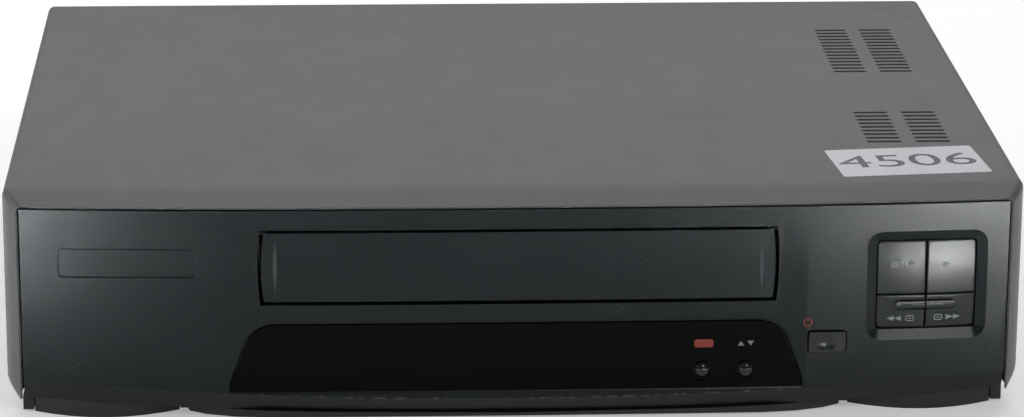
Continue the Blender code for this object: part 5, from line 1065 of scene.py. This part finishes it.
# Each winding button's marks, their height, the middles of its arrows, and the middle of its dash and frame
for name, way, body, z, arrows, x in (
        ("rewind", "left", "rewind_key", 0.0376, (0.1393, 0.1421), 0.1467),
        ("forward", "right", "fast_forward_key", 0.0378, (0.1617, 0.1645), 0.1574)):
    for number, middle in enumerate(arrows, 1):
        printed(f"{name}_arrow_{number}", sharp(arrow(middle, z, *WIND_ARROW, way)), on_key, body, pale_ink)
    printed(name + "_dash", sharp(around(x, z, *WIND_DASH)), on_key, body, pale_ink)
    printed(name + "_frame", ringed(around(x, z, *WIND_FRAME), FRAME_CORNER), on_key, body, pale_ink)
printed("record_tag", plate(oblong(TAG_X, TAG_Z), [TAG_CORNER] * 4), on_window, "chassis", red_ink)
shape = bmesh.new()
ring = [shape.verts.new((reach, 0.0, 0.0)) for reach in POWER_RING]
rung = shape.edges.new(ring)
swung(shape, ring, RING_DEGREES, "Y")
bmesh.ops.spin(shape, geom=ring + [rung], cent=(0.0, 0.0, 0.0), axis=(0.0, 1.0, 0.0),
               angle=math.radians(RING_DEGREES), steps=RING_STEPS, use_merge=False)
moved(shape, shape.verts, POWER_MARK_X, 0.0, POWER_MARK_Z)
printed("power_ring", shape, on_fascia, "chassis", red_ink)


# Lid
# A steel sheet bent down over both sides, its lower edges curled in and its front pressed into a sloping
# rim. It is sprayed satin grey, with two columns of punched vents and a dimple pressed round each screw.

LID_HALF = 0.190
LID_TOP = 0.08688
LID_SHEET = 0.0008
LID_CURL = 0.006
LID_FOOT = 0.0085
LID_CORNER = 0.003
LID_BENDS = 12
LID_CRISP = math.radians(9)
LID_REAR = 0.1443
RIM_DEPTH, RIM_GAP = 0.0136, 0.0003
RIM_HALF, RIM_TOP = 0.1844, 0.0837
RIM_CUTS, RIM_SWELL_SHARE = 3, 0.6
VENT_LENGTH, VENT_WIDTH, VENT_PITCH = 0.0136, 0.0024, 0.00522
VENT_COLUMNS = (0.14475, 0.16365)
# Each group's first vent, how many vents it has, and which way they go from it
VENT_GROUPS = ((FRONT + 0.0663, 9, 1), (LID_REAR - 0.0509, 14, -1))
SCREW_ROWS = (FRONT + 0.060, LID_REAR - 0.055)
SCREW_Z = 0.023
DIMPLE_RADIUS, DIMPLE_DEPTH = 0.0044, 0.0023
SCREW_HOLE = 0.0017
LID_GREY = (0.135, 0.136, 0.139)

shape = bmesh.new()
corners = ((LID_HALF - LID_CURL, LID_FOOT), (LID_HALF, LID_FOOT), (LID_HALF, LID_TOP), (-LID_HALF, LID_TOP),
           (-LID_HALF, LID_FOOT), (LID_CURL - LID_HALF, LID_FOOT))
verts = [shape.verts.new((x, FRONT + RIM_DEPTH, z)) for x, z in corners]
for pair in zip(verts, verts[1:]):
    shape.edges.new(pair)
for folds, radius in (([verts[1], verts[4]], LID_CURL - HAIR / 10), ([verts[2], verts[3]], LID_CORNER)):
    rounded(shape, folds, radius, LID_BENDS)
sliced(shape, LID_CORNER - LID_HALF, LID_HALF - LID_CORNER, 2 * SLICE, X)
section = shape.edges[:]
for vert in new_verts(bmesh.ops.extrude_edge_only(shape, edges=section)):
    vert.co.y = LID_REAR
for vert in new_verts(bmesh.ops.extrude_edge_only(shape, edges=section)):
    x, z = vert.co.x, vert.co.z
    rim_x = math.copysign(RIM_HALF, x) if z < LID_TOP - LID_CORNER else x * RIM_HALF / LID_HALF
    rim_z = LID_FOOT + (z - LID_FOOT) * (RIM_TOP - LID_FOOT) / (LID_TOP - LID_FOOT)
    vert.co = (rim_x, bow(rim_x) + RIM_GAP, rim_z)
fold_y = FRONT + RIM_DEPTH
rungs = []
for edge in shape.edges:
    near, far = sorted(vert.co.y for vert in edge.verts)
    if near < fold_y - HAIR < far < fold_y + HAIR:
        rungs.append(edge)
for vert in new_verts(bmesh.ops.subdivide_edges(shape, edges=rungs, cuts=RIM_CUTS), "geom_inner"):
    share = (fold_y - vert.co.y) / (fold_y - RIM_GAP - bow(vert.co.x))
    swell = RIM_SWELL_SHARE * share * (1 - share)
    vert.co.x += swell * (LID_HALF - RIM_HALF) * vert.co.x / LID_HALF
    vert.co.z += swell * (LID_TOP - RIM_TOP) * (vert.co.z - LID_FOOT) / (LID_TOP - LID_FOOT)
bmesh.ops.remove_doubles(shape, verts=shape.verts, dist=WELD)
bmesh.ops.recalc_face_normals(shape, faces=shape.faces)
bmesh.ops.solidify(shape, geom=shape.faces[:], thickness=LID_SHEET)
lid = as_object("steel_lid", shape)

dimple_floor = LID_HALF - DIMPLE_DEPTH
for side in (-1, 1):
    # A dimple's cup is joined on, and its well and screw hole are cut
    for radius, inner, outer, way in (
            (DIMPLE_RADIUS + LID_SHEET, dimple_floor - LID_SHEET, LID_HALF - LID_SHEET / 2, "UNION"),
            (DIMPLE_RADIUS, dimple_floor, LID_HALF + OVERRUN, "DIFFERENCE"),
            (SCREW_HOLE, dimple_floor - OVERRUN, dimple_floor + HAIR, "DIFFERENCE")):
        shape = bmesh.new()
        for row in SCREW_ROWS:
            bar(X, (row, SCREW_Z), radius, *sorted((side * inner, side * outer)), shape=shape)
        worked(lid, shape, way)

punch = plate(around(0.0, 0.0, VENT_LENGTH, VENT_WIDTH), [VENT_WIDTH * ROUND_END_SHARE] * 4, steps=4)
thickened(punch, -LID_SHEET - OVERRUN, OVERRUN)
swung(punch, punch.verts, -90, "X")
moved(punch, punch.verts, 0.0, 0.0, LID_TOP)
stamp = bpy.data.meshes.new("punch")
punch.to_mesh(stamp)
punch.free()
vents = bmesh.new()
for column in VENT_COLUMNS:
    for first, count, way in VENT_GROUPS:
        for step in range(count):
            before = len(vents.verts)
            vents.from_mesh(stamp)
            vents.verts.ensure_lookup_table()
            place = (column, first + way * step * VENT_PITCH, 0.0)
            moved(vents, vents.verts[before:], *place)
worked(lid, vents)
lid_paint = finish("satin_grey_paint", LID_GREY, rough=0.37, grain=1600.0, relief=0.000008, variation=0.03,
                   specular=0.15)
# The lighter edges on the lid are partly wear and partly painted highlight
recoloured(lid_paint, edge_worn_and_highlit)
recoloured(lid_paint, dusted)
skinned(lid, "top_cover", lid_paint, 0.0, LID_CRISP)


# Case screws
# Zinc-plated pan-head screws with a cross recess hold the lid at its sides and the panel at the back.

CROSS_LENGTH, CROSS_WIDTH, CROSS_DEPTH = 0.0036, 0.0008, 0.0008


def cross_cut(piece, centre, axis, face):
    """Sinks a cross into a screw's head, along an axis from its face."""
    for wide, tall in ((CROSS_LENGTH, CROSS_WIDTH), (CROSS_WIDTH, CROSS_LENGTH)):
        shape = sharp(around(0.0, 0.0, wide, tall))
        thickened(shape, -CROSS_DEPTH, CROSS_DEPTH)
        if axis == X:
            swung(shape, shape.verts, 90, "Z")
        place = list(centre)
        place[axis] = face
        moved(shape, shape.verts, *place)
        worked(piece, shape)


# Each screw, its axis, and whether its head is at the low end (0) or the high end (1) of that axis
for node, axis, end in (("cover_screw_left_1", X, 0), ("cover_screw_left_2", X, 0),
                        ("cover_screw_right_1", X, 1), ("cover_screw_right_2", X, 1),
                        ("rear_screw_left", Y, 1), ("rear_screw_right", Y, 1)):
    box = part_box(node)
    middle = [(low + high) / 2 for low, high in zip(*box)]
    screw = copied(node)
    cross_cut(screw, middle, axis, box[end][axis])
    skinned(screw, node, zinc_plate, SOFT_EDGE, CRISP_COPY)


# Stock label
# A white paper label with a plain number, stuck on the lid by hand and so a little askew.

LABEL_MIDDLE = (0.1500, -0.1068)
LABEL_WIDTH, LABEL_DEPTH, LABEL_CORNER = 0.0570, 0.0360, 0.0012
LABEL_PAPER = 0.0001
LABEL_TURN = math.radians(5.3)
LABEL_NUMBER = "4506"
DIGIT_SIZE, DIGIT_STRETCH = 0.0225, 1.20
LABEL_WHITE, NUMBER_GREY = (0.74, 0.73, 0.77), (0.13, 0.13, 0.15)

place = Matrix.Translation((*LABEL_MIDDLE, LID_TOP)) @ Matrix.Rotation(LABEL_TURN, 4, "Z")
shape = plate(around(0.0, 0.0, LABEL_WIDTH, LABEL_DEPTH), [LABEL_CORNER] * 4)
thickened(shape, -LABEL_PAPER, 0.0)
swung(shape, shape.verts, -90, "X")
bmesh.ops.transform(shape, matrix=place, verts=shape.verts)
label = closed("stock_label", shape)
label_paper = finish("label_paper", LABEL_WHITE, rough=0.80, grain=700.0, relief=0.00002, variation=0.04,
                     specular=0.30)
label.data.materials.append(label_paper)
words = bpy.data.curves.new("stock_number", "FONT")
words.body = LABEL_NUMBER
words.size = DIGIT_SIZE
words.align_x = words.align_y = "CENTER"
typed = linked("typed_number", words)
mesh = settled(typed)
bpy.data.objects.remove(typed)
mesh.transform(Matrix.Diagonal((DIGIT_STRETCH, 1.0, 1.0, 1.0)))
mesh.transform(place @ Matrix.Translation((0.0, 0.0, LABEL_PAPER + INK_SKIN / 2)))
number = linked("stock_number", mesh)
number.data.materials.clear()
number.data.materials.append(finish("number_ink", NUMBER_GREY, rough=0.60, grain=900.0, relief=0.000005))
for piece in (label, number):
    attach(piece, "chassis")
